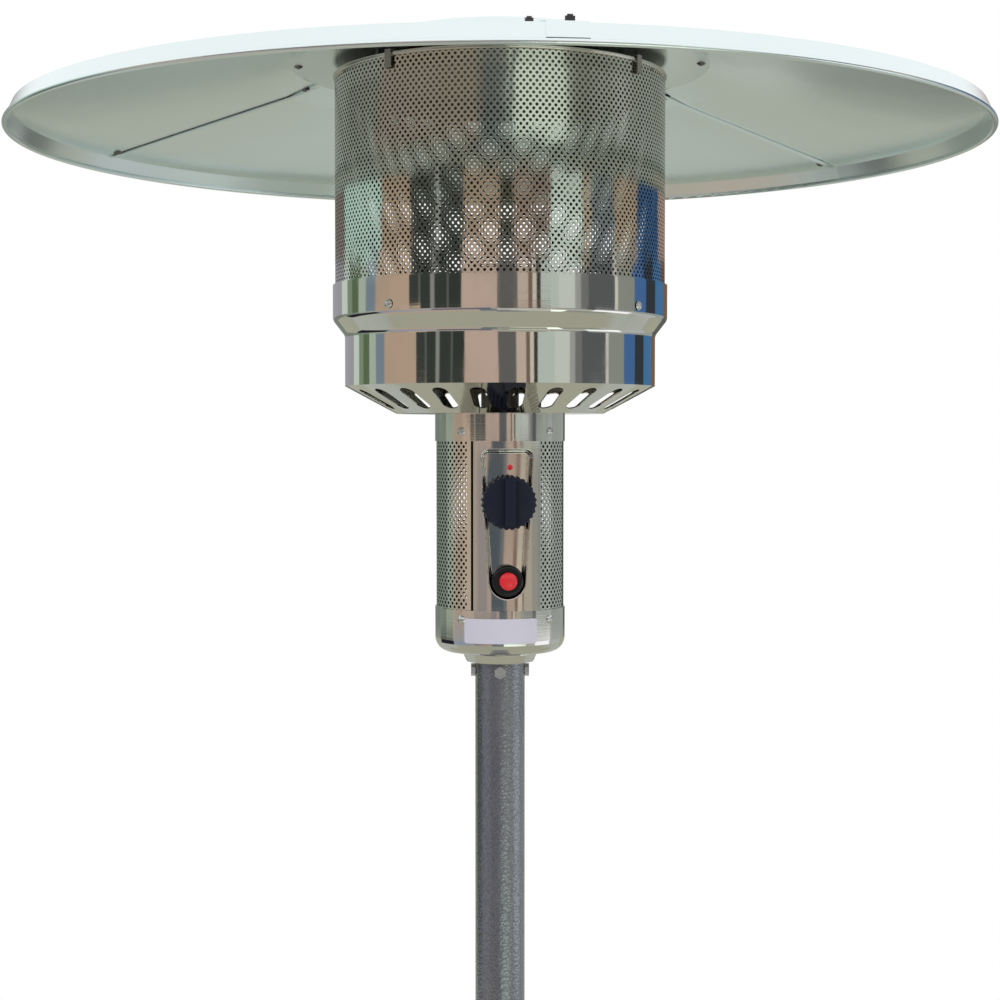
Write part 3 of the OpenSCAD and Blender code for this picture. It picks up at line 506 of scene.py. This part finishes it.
def perforated_sector(radius, low, high, columns, first, count, keep=None):
    """Columns of holes round the axis: count of them out of columns, starting at the first."""
    pitch = 2 * math.pi * radius / columns
    made = hole_tile(pitch)
    add_copy(made, everything(made), (pitch / 2, ROW_PITCH, 0))
    pair = everything(made)
    for row in range(1, math.ceil((high - low) / ROW_PITCH / 2) + 1):
        add_copy(made, pair, (0, 2 * ROW_PITCH * row, 0))
    for v in made.verts:
        angle = v.co.x / radius + first * 2 * math.pi / columns - math.pi
        v.co = (radius * math.sin(angle), -radius * math.cos(angle), low + v.co.y)
    bmesh.ops.spin(
        made, geom=everything(made), cent=(0, 0, 0), axis=(0, 0, 1),
        angle=(count - 1) * 2 * math.pi / columns, steps=count - 1, use_duplicate=True,
    )
    if keep:
        bmesh.ops.delete(
            made, geom=[f for f in made.faces if not keep(f.calc_center_median())], context="FACES"
        )
    for level, side in ((low, -1), (high, 1)):
        bmesh.ops.bisect_plane(
            made, geom=everything(made), plane_co=(0, 0, level), plane_no=(0, 0, side),
            clear_outer=True,
        )
    ring_sheet_out(made)
    return made


def thicken_inwards(made, thickness):
    """Gives an outward-facing sheet a wall on its inner side."""
    bmesh.ops.solidify(made, geom=made.faces[:], thickness=thickness)


SCREEN_T = 0.0008
SCREEN_SECTORS = 4
BEAD_R = 0.002
screen_low, screen_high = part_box("emitter_screen")
screen_r = screen_high.x - BEAD_R + SCREEN_T / 2
screen_columns = SCREEN_SECTORS * round(2 * math.pi * screen_r / HOLE_PITCH / SCREEN_SECTORS)
for sector in range(SCREEN_SECTORS):
    share = screen_columns // SCREEN_SECTORS
    sheet = perforated_sector(
        screen_r, screen_low.z, screen_high.z - BEAD_R, screen_columns, sector * share, share
    )
    thicken_inwards(sheet, SCREEN_T)
    piece = piece_from(
        sheet, f"emitter_screen_{sector + 1}", "perforated_steel", stands_for=["emitter_screen"]
    )
    radii = [v.co.xy.length for v in piece.data.vertices]
    print(piece.name, len(piece.data.polygons), "faces, radius", min(radii), "to", max(radii))

# %% [markdown]
# The screen's top edge is rolled into a bead.
# %% Rolled bead


def rolled_bead():
    """A small circle in the XZ plane, spun once round the axis at the screen's top."""
    made = bmesh.new()
    bmesh.ops.create_circle(made, segments=16, radius=BEAD_R)
    turn_about(made, "X", math.pi / 2)
    place = (screen_r - SCREEN_T / 2, 0, screen_high.z - BEAD_R)
    bmesh.ops.translate(made, vec=place, verts=made.verts)
    bmesh.ops.spin(
        made, geom=made.verts[:] + made.edges[:], cent=(0, 0, 0), axis=(0, 0, 1),
        angle=2 * math.pi, steps=128, use_merge=True,
    )
    faces_out(made)
    return made


bead = piece_from(
    rolled_bead(), "emitter_screen_bead", "perforated_steel", stands_for=["emitter_screen"]
)
print("bead", len(bead.data.polygons), "faces")

# %% [markdown]
# The housing is rolled from the same sheet, with a window left out behind the control panel. Its
# holes come from the same tile, at a pitch that closes round the smaller drum. A narrow slit stays
# open along the panel's left edge and draws a dark line: painted shade on the flange behind it.
# %% Perforated housing
shell_low, shell_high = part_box("housing_shell")
panel_low, panel_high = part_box("control_panel")
shell_r = shell_high.x
shell_columns = round(2 * math.pi * shell_r / HOLE_PITCH)
HOUSING_T = 0.001
UNDER_PANEL = 0.004
SLIT = 0.0014
SLIT_MARGIN = 0.0012
window_left = -panel_high.x - SLIT
window_right = panel_high.x - UNDER_PANEL


def outside_window(place):
    return place.y > 0 or place.x > window_right or place.x < window_left - SLIT_MARGIN


shell = perforated_sector(
    shell_r, shell_low.z, shell_high.z, shell_columns, 0, shell_columns, outside_window
)
thicken_inwards(shell, HOUSING_T)
shell_piece = piece_from(
    shell, "perforated_housing", "perforated_steel", stands_for=["housing_shell"]
)
print(shell_piece.name, len(shell_piece.data.polygons), "faces")

# %% [markdown]
# Beside the slit the sheet has a plain margin without holes. Its edge is turned in and across behind
# the slit, so that no light comes through. That turned part lies inside the housing's middle, so it
# takes the sheet's near-black inner colour: painted shade in the slit. The line of that bend, seen
# from above, is drawn at the sheet's foot and grown upwards in steps.
# %% Flange of the window
FLANGE_WIDTH = 0.0032
FLANGE_PROUD = 0.0001
FLANGE_BACK = ((FLANGE_WIDTH, -0.0408), (0.0008, -0.0412), (-0.0001, -0.042))
FLANGE_STEPS = 8
FLANGE_T = 0.0006


def on_shell(x):
    """Place (x, y) just in front of the housing's sheet."""
    return x, -math.sqrt(shell_r * shell_r - x * x) - FLANGE_PROUD


def is_level(edge):
    return abs(edge.verts[0].co.z - edge.verts[1].co.z) < 1e-6


def window_flange():
    """The window's left edge: a plain margin, turned in and then across behind the slit."""
    margin = window_left - FLANGE_WIDTH
    line = [(window_left + x, y) for x, y in FLANGE_BACK]
    line += [on_shell(x) for x in (window_left, (window_left + margin) / 2, margin)]
    made = bmesh.new()
    chain = [made.verts.new((x, y, shell_low.z)) for x, y in line]
    edges = [made.edges.new(pair) for pair in zip(chain, chain[1:])]
    rise = (0, 0, (shell_high.z - shell_low.z) / FLANGE_STEPS)
    for _ in range(FLANGE_STEPS):
        grown = bmesh.ops.extrude_edge_only(made, edges=edges)["geom"]
        bmesh.ops.translate(made, vec=rise, verts=verts_of(grown))
        edges = [e for e in grown if isinstance(e, bmesh.types.BMEdge) and is_level(e)]
    ring_sheet_out(made)
    thicken_inwards(made, FLANGE_T)
    return made


# The flange's turned-in part is painted near black, as shade behind the slit.
flange = piece_from(
    window_flange(), "window_flange", "perforated_steel", stands_for=["housing_shell"]
)
print(flange.name, len(flange.data.polygons), "faces")

# %% [markdown]
# The control panel is pressed from one sheet: a face flatter than the housing, with folded sides
# that reach back to it, sunk in the middle to a floor that carries the knob and the igniter. A grid
# is wrapped over that section and pushed in wherever it lies inside the recess's outline, which
# gives the soft drawn edge that a press leaves. The floor bulges and twists a little, as pressed
# sheet does, and has an opening for the valve's stem and one for the igniter.
# %% Pressed control panel
knob_low, knob_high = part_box("control_knob")
bezel_low, bezel_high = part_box("igniter_bezel")
KNOB_Z = (knob_low.z + knob_high.z) / 2
IGNITER_Z = (bezel_low.z + bezel_high.z) / 2
FLOOR_Y = bezel_high.y
RECESS_LOW_R = 0.0153
RECESS_TOP_R = 0.007
RECESS_TOP = Vector((0.0148, panel_high.z - 0.0135))
RECESS_LOW = Vector((0, IGNITER_Z))
PRESS_WIDTH = 0.003
FLOOR_CROWN = 0.0008
FLOOR_TWIST = 0.35
TWIST_HEIGHT = 0.06
OPENINGS = ((KNOB_Z, 0.0065), (IGNITER_Z, 0.0085))
FACE_HALF = panel_high.x - 0.001
FOLD_R = 0.001
FOLD_DEPTH = 0.006
FLATNESS = 0.5
PANEL_R = 0.0551
PANEL_T = 0.001
PANEL_EXTRA = 0.0003
PANEL_CELLS = (120, 220)


def between_circles(point, low, low_r, high, high_r):
    """Signed distance from a point to the outline round two circles."""
    along = high - low
    length = along.length
    up = along / length
    local = point - low
    x, y = abs(local.x * up.y - local.y * up.x), local.dot(up)
    lean = (low_r - high_r) / length
    level = math.sqrt(1 - lean * lean)
    place = y * level - x * lean
    if place < 0:
        return math.hypot(x, y) - low_r
    if place > level * length:
        return math.hypot(x, y - length) - high_r
    return x * level + y * lean - low_r


def recess_distance(x, z):
    """Signed distance from a point of the panel to the recess's outline, negative inside."""
    point = Vector((abs(x), z))
    side = between_circles(point, RECESS_LOW, RECESS_LOW_R, RECESS_TOP, RECESS_TOP_R)
    middle = Vector((0, RECESS_TOP.y))
    centre = between_circles(point, RECESS_LOW, RECESS_LOW_R, middle, RECESS_TOP_R)
    top = between_circles(point, middle, RECESS_TOP_R, RECESS_TOP, RECESS_TOP_R)
    inside = RECESS_LOW.y < z < RECESS_TOP.y and abs(x) < RECESS_TOP.x * (z - RECESS_LOW.y) / (
        RECESS_TOP.y - RECESS_LOW.y
    )
    return -PRESS_WIDTH if inside else min(side, centre, top)


def folded_face(along):
    """Place (x, y) on the panel's section, from how far along it a point lies from the middle."""
    face = min(abs(along), FACE_HALF)
    y = -PANEL_R + FLATNESS * (PANEL_R - math.sqrt(PANEL_R * PANEL_R - face * face))
    round_turn = min(max(abs(along) - FACE_HALF, 0) / FOLD_R, math.pi / 2)
    x = face + FOLD_R * math.sin(round_turn)
    y += FOLD_R * (1 - math.cos(round_turn))
    y += max(abs(along) - FACE_HALF - FOLD_R * math.pi / 2, 0)
    return math.copysign(x, along), y


def in_opening(place):
    return any(math.hypot(place.x, place.z - z) < radius for z, radius in OPENINGS)


def pressed_panel():
    made = bmesh.new()
    half = FACE_HALF + FOLD_R * math.pi / 2 + FOLD_DEPTH
    width, height = 2 * half, panel_high.z - panel_low.z + PANEL_EXTRA
    across, up = PANEL_CELLS
    bmesh.ops.create_grid(made, x_segments=across, y_segments=up, size=0.5)
    bmesh.ops.scale(made, vec=(width, height, 1), verts=made.verts)
    for v in made.verts:
        x, curve = folded_face(v.co.x)
        z = (panel_low.z + panel_high.z) / 2 + v.co.y
        share = max(0.0, min(1.0, -recess_distance(x, z) / PRESS_WIDTH))
        share = share * share * (3 - 2 * share)
        aside, twist = x / RECESS_TOP.x, (z - KNOB_Z) / TWIST_HEIGHT
        floor = FLOOR_Y + FLOOR_CROWN * (aside * aside - FLOOR_TWIST * aside * twist)
        v.co = (x, curve + (floor - curve) * share, z)
    cut = [f for f in made.faces if in_opening(f.calc_center_median())]
    bmesh.ops.delete(made, geom=cut, context="FACES")
    ring_sheet_out(made)
    thicken_inwards(made, PANEL_T)
    return made


panel = piece_from(
    pressed_panel(), "pressed_panel", "polished_steel", stands_for=["control_panel"], sharp=60
)
print("panel front", round(min(v.co.y for v in panel.data.vertices), 4))

# %% [markdown]
# The band round the screen's foot is one strip of polished sheet with a bevel under it. Its corners
# are rolled, not sharp, and catch a line of light. A chain of vertices is its section: its corners
# are rounded, then it is spun once round and given its thickness. The lap where the strip's ends
# meet is the same section a sheet further out, with a pressed ridge along the bevel's lower edge and
# a smaller one along its upper edge, spun through a few degrees.
# %% Polished band
band_box_low, band_box_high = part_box("screen_band")
_, drum_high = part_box("burner_pan")
BAND_T = 0.001
LAP_T = 0.0006
LAP_FROM, LAP_TURN = math.radians(-97.5), math.radians(17)
LAP_STEPS, BAND_STEPS = 24, 256
BEVEL_TOP = band_box_high.z - 0.029
BEVEL_H = 0.013
CORNER_R, RIDGE_R = 0.0022, 0.0004
LOW_RIDGE = ((0, -0.016), (0.0014, -0.0144), (0.0006, -0.0128))
HIGH_RIDGE = ((-0.001, -0.0012), (0.0004, 0), (0, 0.0014))


def band_section(grow):
    """The outer line from foot to top, as a chain. The lap's one stands off and has ridges."""
    drum_r, band_r = drum_high.x + grow, band_box_high.x - LAP_T + grow
    bend = [(drum_r, BEVEL_TOP - BEVEL_H), (band_r, BEVEL_TOP)]
    if grow:
        bend = [
            (radius + out, BEVEL_TOP + up)
            for radius, ridge in ((drum_r, LOW_RIDGE), (band_r, HIGH_RIDGE)) for out, up in ridge
        ]
    corners = [(drum_r, band_box_low.z), *bend, (band_r, band_box_high.z)]
    made = bmesh.new()
    chain = [made.verts.new((x, 0, z)) for x, z in corners]
    for pair in zip(chain, chain[1:]):
        made.edges.new(pair)
    rounding = RIDGE_R if grow else CORNER_R
    bmesh.ops.bevel(
        made, geom=chain[1:-1], offset=rounding, segments=5, profile=0.5, material=-1,
        affect="VERTICES",
    )
    return made


def spun_band(grow, start, turn, steps, thickness):
    """The section spun from one angle through another, and closed where that is a full turn."""
    made = band_section(grow)
    turn_about(made, "Z", start)
    bmesh.ops.spin(
        made, geom=made.verts[:] + made.edges[:], cent=(0, 0, 0), axis=(0, 0, 1), angle=turn,
        steps=steps, use_merge=turn == 2 * math.pi,
    )
    ring_sheet_out(made)
    thicken_inwards(made, thickness)
    return made


band = piece_from(
    spun_band(0, 0, 2 * math.pi, BAND_STEPS, BAND_T), "polished_band", "polished_steel",
    stands_for=["screen_band"],
)
lap = piece_from(
    spun_band(LAP_T, LAP_FROM, LAP_TURN, LAP_STEPS, LAP_T * 0.98), "band_lap", "polished_steel",
    stands_for=["screen_band"],
)
print("band", len(band.data.polygons), "faces, lap", len(lap.data.polygons))

# %% [markdown]
# A pale foil plate is stuck on the cup under the panel. It stays blank. It is a rectangle with
# rounded corners, cut into strips and bent to the cup's radius. The red mark above the knob is a
# drop of paint: a shallow dome.
# %% Blank plate and red mark
_, cup_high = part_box("housing_cup")
PLATE_FROM, PLATE_TO = math.radians(-38.8), math.radians(27)
PLATE_LOW, PLATE_HIGH = cup_high.z - 0.027, cup_high.z - 0.0065
PLATE_CORNER_R, PLATE_STRIPS = 0.002, 24
PLATE_GAP, PLATE_T = 0.0001, 0.00015
MARK_R, MARK_FLATNESS = 0.0023, 0.25
MARK_ASIDE, MARK_UP = 0.0028, 0.0285


def blank_plate():
    made = bmesh.new()
    width, height = PANEL_R * (PLATE_TO - PLATE_FROM), PLATE_HIGH - PLATE_LOW
    bmesh.ops.create_grid(made, x_segments=1, y_segments=1, size=0.5)
    bmesh.ops.scale(made, vec=(width, height, 1), verts=made.verts)
    bmesh.ops.bevel(
        made, geom=made.verts[:], offset=PLATE_CORNER_R, segments=4, profile=0.5, material=-1,
        affect="VERTICES",
    )
    for i in range(1, PLATE_STRIPS):
        cut = (width * (i / PLATE_STRIPS - 0.5), 0, 0)
        bmesh.ops.bisect_plane(made, geom=everything(made), plane_co=cut, plane_no=(1, 0, 0))
    radius = cup_high.x + PLATE_GAP
    for v in made.verts:
        angle = (PLATE_FROM + PLATE_TO) / 2 + v.co.x / PANEL_R
        z = (PLATE_LOW + PLATE_HIGH) / 2 + v.co.y
        v.co = (radius * math.sin(angle), -radius * math.cos(angle), z)
    ring_sheet_out(made)
    thicken_inwards(made, PLATE_T)
    return made


plate = piece_from(blank_plate(), "blank_plate", "white_plastic")


def red_mark():
    made = bmesh.new()
    bmesh.ops.create_uvsphere(made, u_segments=24, v_segments=12, radius=MARK_R)
    bmesh.ops.scale(made, vec=(1, MARK_FLATNESS, 1), verts=made.verts)
    place = (MARK_ASIDE, FLOOR_Y, KNOB_Z + MARK_UP)
    bmesh.ops.translate(made, vec=place, verts=made.verts)
    return made


mark = piece_from(red_mark(), "red_mark", "red_button")
print("plate", len(plate.data.polygons), "faces, mark", len(mark.data.polygons))

# %% [markdown]
# The reflector's three panels lap over each other. Seen from below, the free edge of each lap stands
# off the next panel by half a millimetre, and the gap under it draws a thin dark line from the rim
# to the centre plate. The lip is a strip from the dish's own section, its far edge let down.
# %% Lips of the reflector's laps
DISH_LINE = ((0.176, 2.1632), (0.206, 2.1557), (0.3975, 2.1158))
LIP_WIDTH = 0.006
LIP_DROP = 0.0006
LIP_T = 0.0005
SEAMS = (148.5, 28.5, -91.5)


def lap_lip(angle):
    """A strip under the dish at that angle, its edge on the left side standing off."""
    made = bmesh.new()
    chain = [made.verts.new((r, 0, z)) for r, z in DISH_LINE]
    edges = [made.edges.new(pair) for pair in zip(chain, chain[1:])]
    far = verts_of(bmesh.ops.extrude_edge_only(made, edges=edges)["geom"])
    bmesh.ops.translate(made, vec=(0, LIP_WIDTH, -LIP_DROP), verts=far)
    bmesh.ops.recalc_face_normals(made, faces=made.faces)
    if made.faces[:][0].normal.z > 0:
        bmesh.ops.reverse_faces(made, faces=made.faces)
    thicken_inwards(made, LIP_T)
    turn_about(made, "Z", math.radians(angle))
    return made


for number, angle in enumerate(SEAMS, 1):
    lip = piece_from(lap_lip(angle), f"lap_lip_{number}", "reflector_sheet", sharp=20)
    print(lip.name, len(lip.data.polygons), "faces")

# %% [markdown]
# The stage is a pale floor, a soft white world and large soft lamps at a plain level. A mirror needs
# something to mirror, so a ring of cards stands round the object. Only reflections see it: it stands
# for the doors, windows and garden that a terrace would show in the steel. The lamps themselves are
# hidden from reflections, or the steel would mirror their white squares in front of the cards. The
# world is dimmer as a light than as a background.
# %% World and lamps
WORLD_AS_LIGHT, WORLD_SEEN = 0.55, 1.0


def white_world():
    world = bpy.data.worlds.new("studio")
    bpy.context.scene.world = world
    world.use_nodes = True
    tree = world.node_tree
    background = tree.nodes["Background"]
    path = tree.nodes.new("ShaderNodeLightPath")
    camera_ray, glossy, clear = (
        Signal(path.outputs[n]) for n in ("Is Camera Ray", "Is Glossy Ray", "Is Transmission Ray")
    )
    seen = camera_ray.maths("MAXIMUM", camera_ray, camera_ray.maths("MAXIMUM", glossy, clear))
    strength = seen.between(WORLD_AS_LIGHT, WORLD_SEEN)
    tree.links.new(strength.output, background.inputs["Strength"])
    background.inputs["Color"].default_value = (1, 1, 1, 1)


def soft_lamp(name, place, aim, size, watts):
    data = bpy.data.lights.new(name, "AREA")
    data.shape = "RECTANGLE"
    data.size, data.size_y = size
    data.energy = watts
    lamp = new_object(name, data)
    lamp.location = place
    lamp.rotation_euler = (Vector(aim) - Vector(place)).to_track_quat("-Z", "Y").to_euler()
    lamp.visible_glossy = False


white_world()
soft_lamp("key", (-2.6, -3.2, 3.6), (0, 0, 1.7), (1.6, 1.6), 95)
soft_lamp("fill", (3.2, -2.2, 2.2), (0, 0, 1.5), (1.4, 2.2), 45)
soft_lamp("back", (0.5, 3.4, 3.2), (0, 0, 1.5), (2.4, 1.4), 60)

# %% [markdown]
# The floor is a plain pale disc.
# %% Floor
FLOOR_R = 3.0
FLOOR_PALE = (0.78, 0.77, 0.75)
STAGE_SEGMENTS = 96
disc = bmesh.new()
bmesh.ops.create_circle(disc, cap_ends=True, segments=STAGE_SEGMENTS, radius=FLOOR_R)
floor = new_object("floor", new_mesh(disc, "floor"))
floor.data.materials.append(finish("floor", Base_Color=(*FLOOR_PALE, 1), Roughness=0.8)[0])
print("floor radius", FLOOR_R)

# %% [markdown]
# The ring of cards is one tube of faces that glow, closed by a ground card below and a sky card
# above. A colour ramp over the direction seen from the axis paints its stripes. Each stripe is
# written as the picture's column where its left edge shows and the colour in which it glows. The
# law of reflection turns that column into a direction: twice the angle at which the drum faces the
# camera there. The screen stands higher and mirrors a higher part of the ring, the housing and the
# post lower parts, and each part has a ramp of its own. The outer ground has one too: the dish
# mirrors it into the screen's top.
#
# Where the numbers come from: the columns were read in enlarged views of the photograph. The
# drum's colours were first set one by one. Most colours of the post and the housing, and some of the
# others, were worked out or corrected from average colours measured in the photograph. They fit
# that one picture. Without this ring the object is the same, and its metal mirrors the white world.
# %% Ring of cards
CENTRE_PX = 499.5
DRUM_RADIUS_PX = 156.0
SCREEN_RADIUS_PX = 165.5
POST_RADIUS_PX = 24.9
RING_R, RING_H, RING_MIDDLE = 4.0, 4.4, 2.25
GROUND = (0.45, 0.46, 0.38)
SKY = (1.06, 1.08, 1.1)
STRIPES = [
    (343, (0.38, 0.38, 0.42)), (355, (0.64, 0.74, 0.68)), (361, (0.24, 0.32, 0.22)),
    (365, (0.12, 0.18, 0.1)), (371, (0.46, 0.56, 0.48)), (378, (0.22, 0.29, 0.37)),
    (387, (0.55, 0.42, 0.32)), (418, (0.05, 0.06, 0.056)), (426, (0.13, 0.15, 0.14)),
    (429, (0.045, 0.055, 0.05)), (438, (0.3, 0.31, 0.3)), (440, (0.045, 0.055, 0.05)),
    (451, (0.12, 0.14, 0.13)), (454, (0.04, 0.05, 0.046)), (464, (0.6, 0.47, 0.4)),
    (496, (0.15, 0.15, 0.15)), (513, (0.62, 0.52, 0.44)), (523, (0.2, 0.14, 0.11)),
    (527, (0.7, 0.66, 0.58)), (530, (0.05, 0.045, 0.04)), (535, (0.56, 0.65, 0.6)),
    (552, (0.66, 0.72, 0.68)), (566, (0.4, 0.42, 0.4)), (571, (0.2, 0.21, 0.21)),
    (578, (0.12, 0.13, 0.14)), (601, (0.72, 0.72, 0.66)),
    (604, (0.3, 0.33, 0.3)), (620, (0.07, 0.17, 0.4)), (631, (0.04, 0.05, 0.06)),
    (640, (0.07, 0.2, 0.42)), (649, (0.2, 0.13, 0.08)), (655, (0.7, 0.72, 0.7)),
]
LEFT_STRIPES = [
    (343, (0.22, 0.25, 0.22)), (355, (0.25, 0.3, 0.26)), (371, (0.4, 0.48, 0.4)),
    (382, (0.46, 0.47, 0.38)), (392, (0.5, 0.4, 0.32)), (410, (0.6, 0.48, 0.38)),
]
RIGHT_STRIPES = [
    (575, (0.12, 0.13, 0.13)), (584, (0.4, 0.45, 0.42)), (612, (0.46, 0.5, 0.47)),
    (622, (0.38, 0.42, 0.4)), (650, (0.12, 0.13, 0.12)), (655, (0.6, 0.62, 0.6)),
]
MIDDLE_STRIPES = [(pixel, colour) for pixel, colour in STRIPES if 426 < pixel < 575]
PANEL_STRIPES = [
    (438, (0.46, 0.4, 0.35)), (478, (0.36, 0.33, 0.32)), (490, (0.5, 0.4, 0.35)),
    (497, (0.1, 0.125, 0.15)), (511, (0.17, 0.19, 0.2)), (516, (0.52, 0.41, 0.34)),
    (525, (0.26, 0.18, 0.15)), (529, (0.66, 0.58, 0.48)), (534, (0.2, 0.16, 0.14)),
    (537, (0.5, 0.46, 0.38)), (547, (0.36, 0.37, 0.34)), (556, (0.3, 0.33, 0.32)),
]
COLLAR_STRIPES = LEFT_STRIPES + MIDDLE_STRIPES + RIGHT_STRIPES
HOUSING_STRIPES = LEFT_STRIPES + PANEL_STRIPES + RIGHT_STRIPES
SCREEN_STRIPES = [
    (335, (0.24, 0.22, 0.19)), (347, (0.52, 0.73, 0.66)), (385, (0.42, 0.33, 0.24)),
    (413, (0.07, 0.08, 0.07)), (437, (0.36, 0.38, 0.36)), (441, (0.07, 0.08, 0.07)),
    (464, (0.37, 0.29, 0.21)), (499, (0.08, 0.085, 0.06)), (511, (0.3, 0.23, 0.18)),
    (527, (0.25, 0.2, 0.16)), (546, (0.62, 0.75, 0.66)), (577, (0.45, 0.4, 0.3)),
    (585, (0.2, 0.24, 0.25)), (608, (0.42, 0.34, 0.25)), (632, (0.05, 0.12, 0.26)),
    (654, (0.45, 0.33, 0.28)),
]
FAR_FLOOR = (0.5, 0.54, 0.5)
FLOOR_STRIPES = [
    (344, FAR_FLOOR), (385, (0.54, 0.44, 0.36)), (480, (0.2, 0.235, 0.265)),
    (509, (1.35, 1.55, 1.4)), (562, (0.34, 0.38, 0.33)), (605, FAR_FLOOR),
]
POST_STRIPES = [
    (474, GROUND), (476.8, (0.02, 0.02, 0.03)), (481.5, (0.34, 0.4, 0.52)),
    (489.5, (0.13, 0.16, 0.24)), (498, (0.4, 0.4, 0.38)), (503, (0.58, 0.57, 0.54)),
    (513, (1.3, 1.32, 1.4)), (518.5, (0.55, 0.58, 0.6)), (522.5, GROUND),
]
LAYERS = (  # from this height up: height, width of its soft edge, stripes, radius of their mirror
    (0.2, 0.2, POST_STRIPES, POST_RADIUS_PX),
    (1.24, 0.1, HOUSING_STRIPES, DRUM_RADIUS_PX),
    (1.85, 0.02, COLLAR_STRIPES, DRUM_RADIUS_PX),
    (1.95, 0.04, STRIPES, DRUM_RADIUS_PX),
    (2.37, 0.03, SCREEN_STRIPES, SCREEN_RADIUS_PX),
)
FAR_FLOOR_REACH, FAR_FLOOR_EDGE = 2.2, 0.4
SKY_LEVEL, SKY_EDGE = 3.3, 0.6


def seen_direction(pixel, radius):
    """Share of a full turn, from the camera's back, of what a drum of that radius mirrors there."""
    facing = math.asin(max(-1.0, min(1.0, (pixel - CENTRE_PX) / radius)))
    return 0.5 + facing / math.pi


def stripes_over(turn, stripes, radius):
    """A ramp over the direction, as the stripes that a drum of that radius shows."""
    stops = [(seen_direction(pixel, radius), glow) for pixel, glow in stripes]
    return turn.node(
        "ShaderNodeValToRGB", {"interpolation": "CONSTANT", "stops": stops}, {"Fac": turn}
    )


def card_glow():
    material = bpy.data.materials.new("card_glow")
    material.use_nodes = True
    tree = material.node_tree
    tree.nodes.clear()
    place = Signal(tree.nodes.new("ShaderNodeTexCoord").outputs["Object"])
    split = tree.nodes.new("ShaderNodeSeparateXYZ")
    tree.links.new(place.output, split.inputs[0])
    x, y, z = (Signal(split.outputs[i]) for i in range(3))
    turn = x.maths("ARCTAN2", x, 0 - y) * (1 / (2 * math.pi)) + 0.5
    far = place.from_axis().above(FAR_FLOOR_REACH, FAR_FLOOR_EDGE)
    painted = far.colours(GROUND, stripes_over(turn, FLOOR_STRIPES, DRUM_RADIUS_PX))
    for level, edge, stripes, radius in LAYERS:
        painted = z.above(level, edge).colours(painted, stripes_over(turn, stripes, radius))
    painted = z.above(SKY_LEVEL, SKY_EDGE).colours(painted, SKY)
    glow = tree.nodes.new("ShaderNodeEmission")
    output = tree.nodes.new("ShaderNodeOutputMaterial")
    tree.links.new(painted.output, glow.inputs["Color"])
    tree.links.new(glow.outputs[0], output.inputs["Surface"])
    return material


def ring_of_cards():
    made = bmesh.new()
    bmesh.ops.create_cone(
        made, cap_ends=True, segments=STAGE_SEGMENTS, radius1=RING_R, radius2=RING_R, depth=RING_H
    )
    bmesh.ops.translate(made, vec=(0, 0, RING_MIDDLE), verts=made.verts)
    ring = new_object("cards", new_mesh(made, "cards"))
    ring.data.materials.append(card_glow())
    ring.rotation_euler = (0, 0, CAMERA_TURN)
    for kind in ("camera", "diffuse", "transmission", "volume_scatter", "shadow"):
        setattr(ring, "visible_" + kind, False)


ring_of_cards()
print("card stripes", len(STRIPES), len(HOUSING_STRIPES), len(POST_STRIPES))
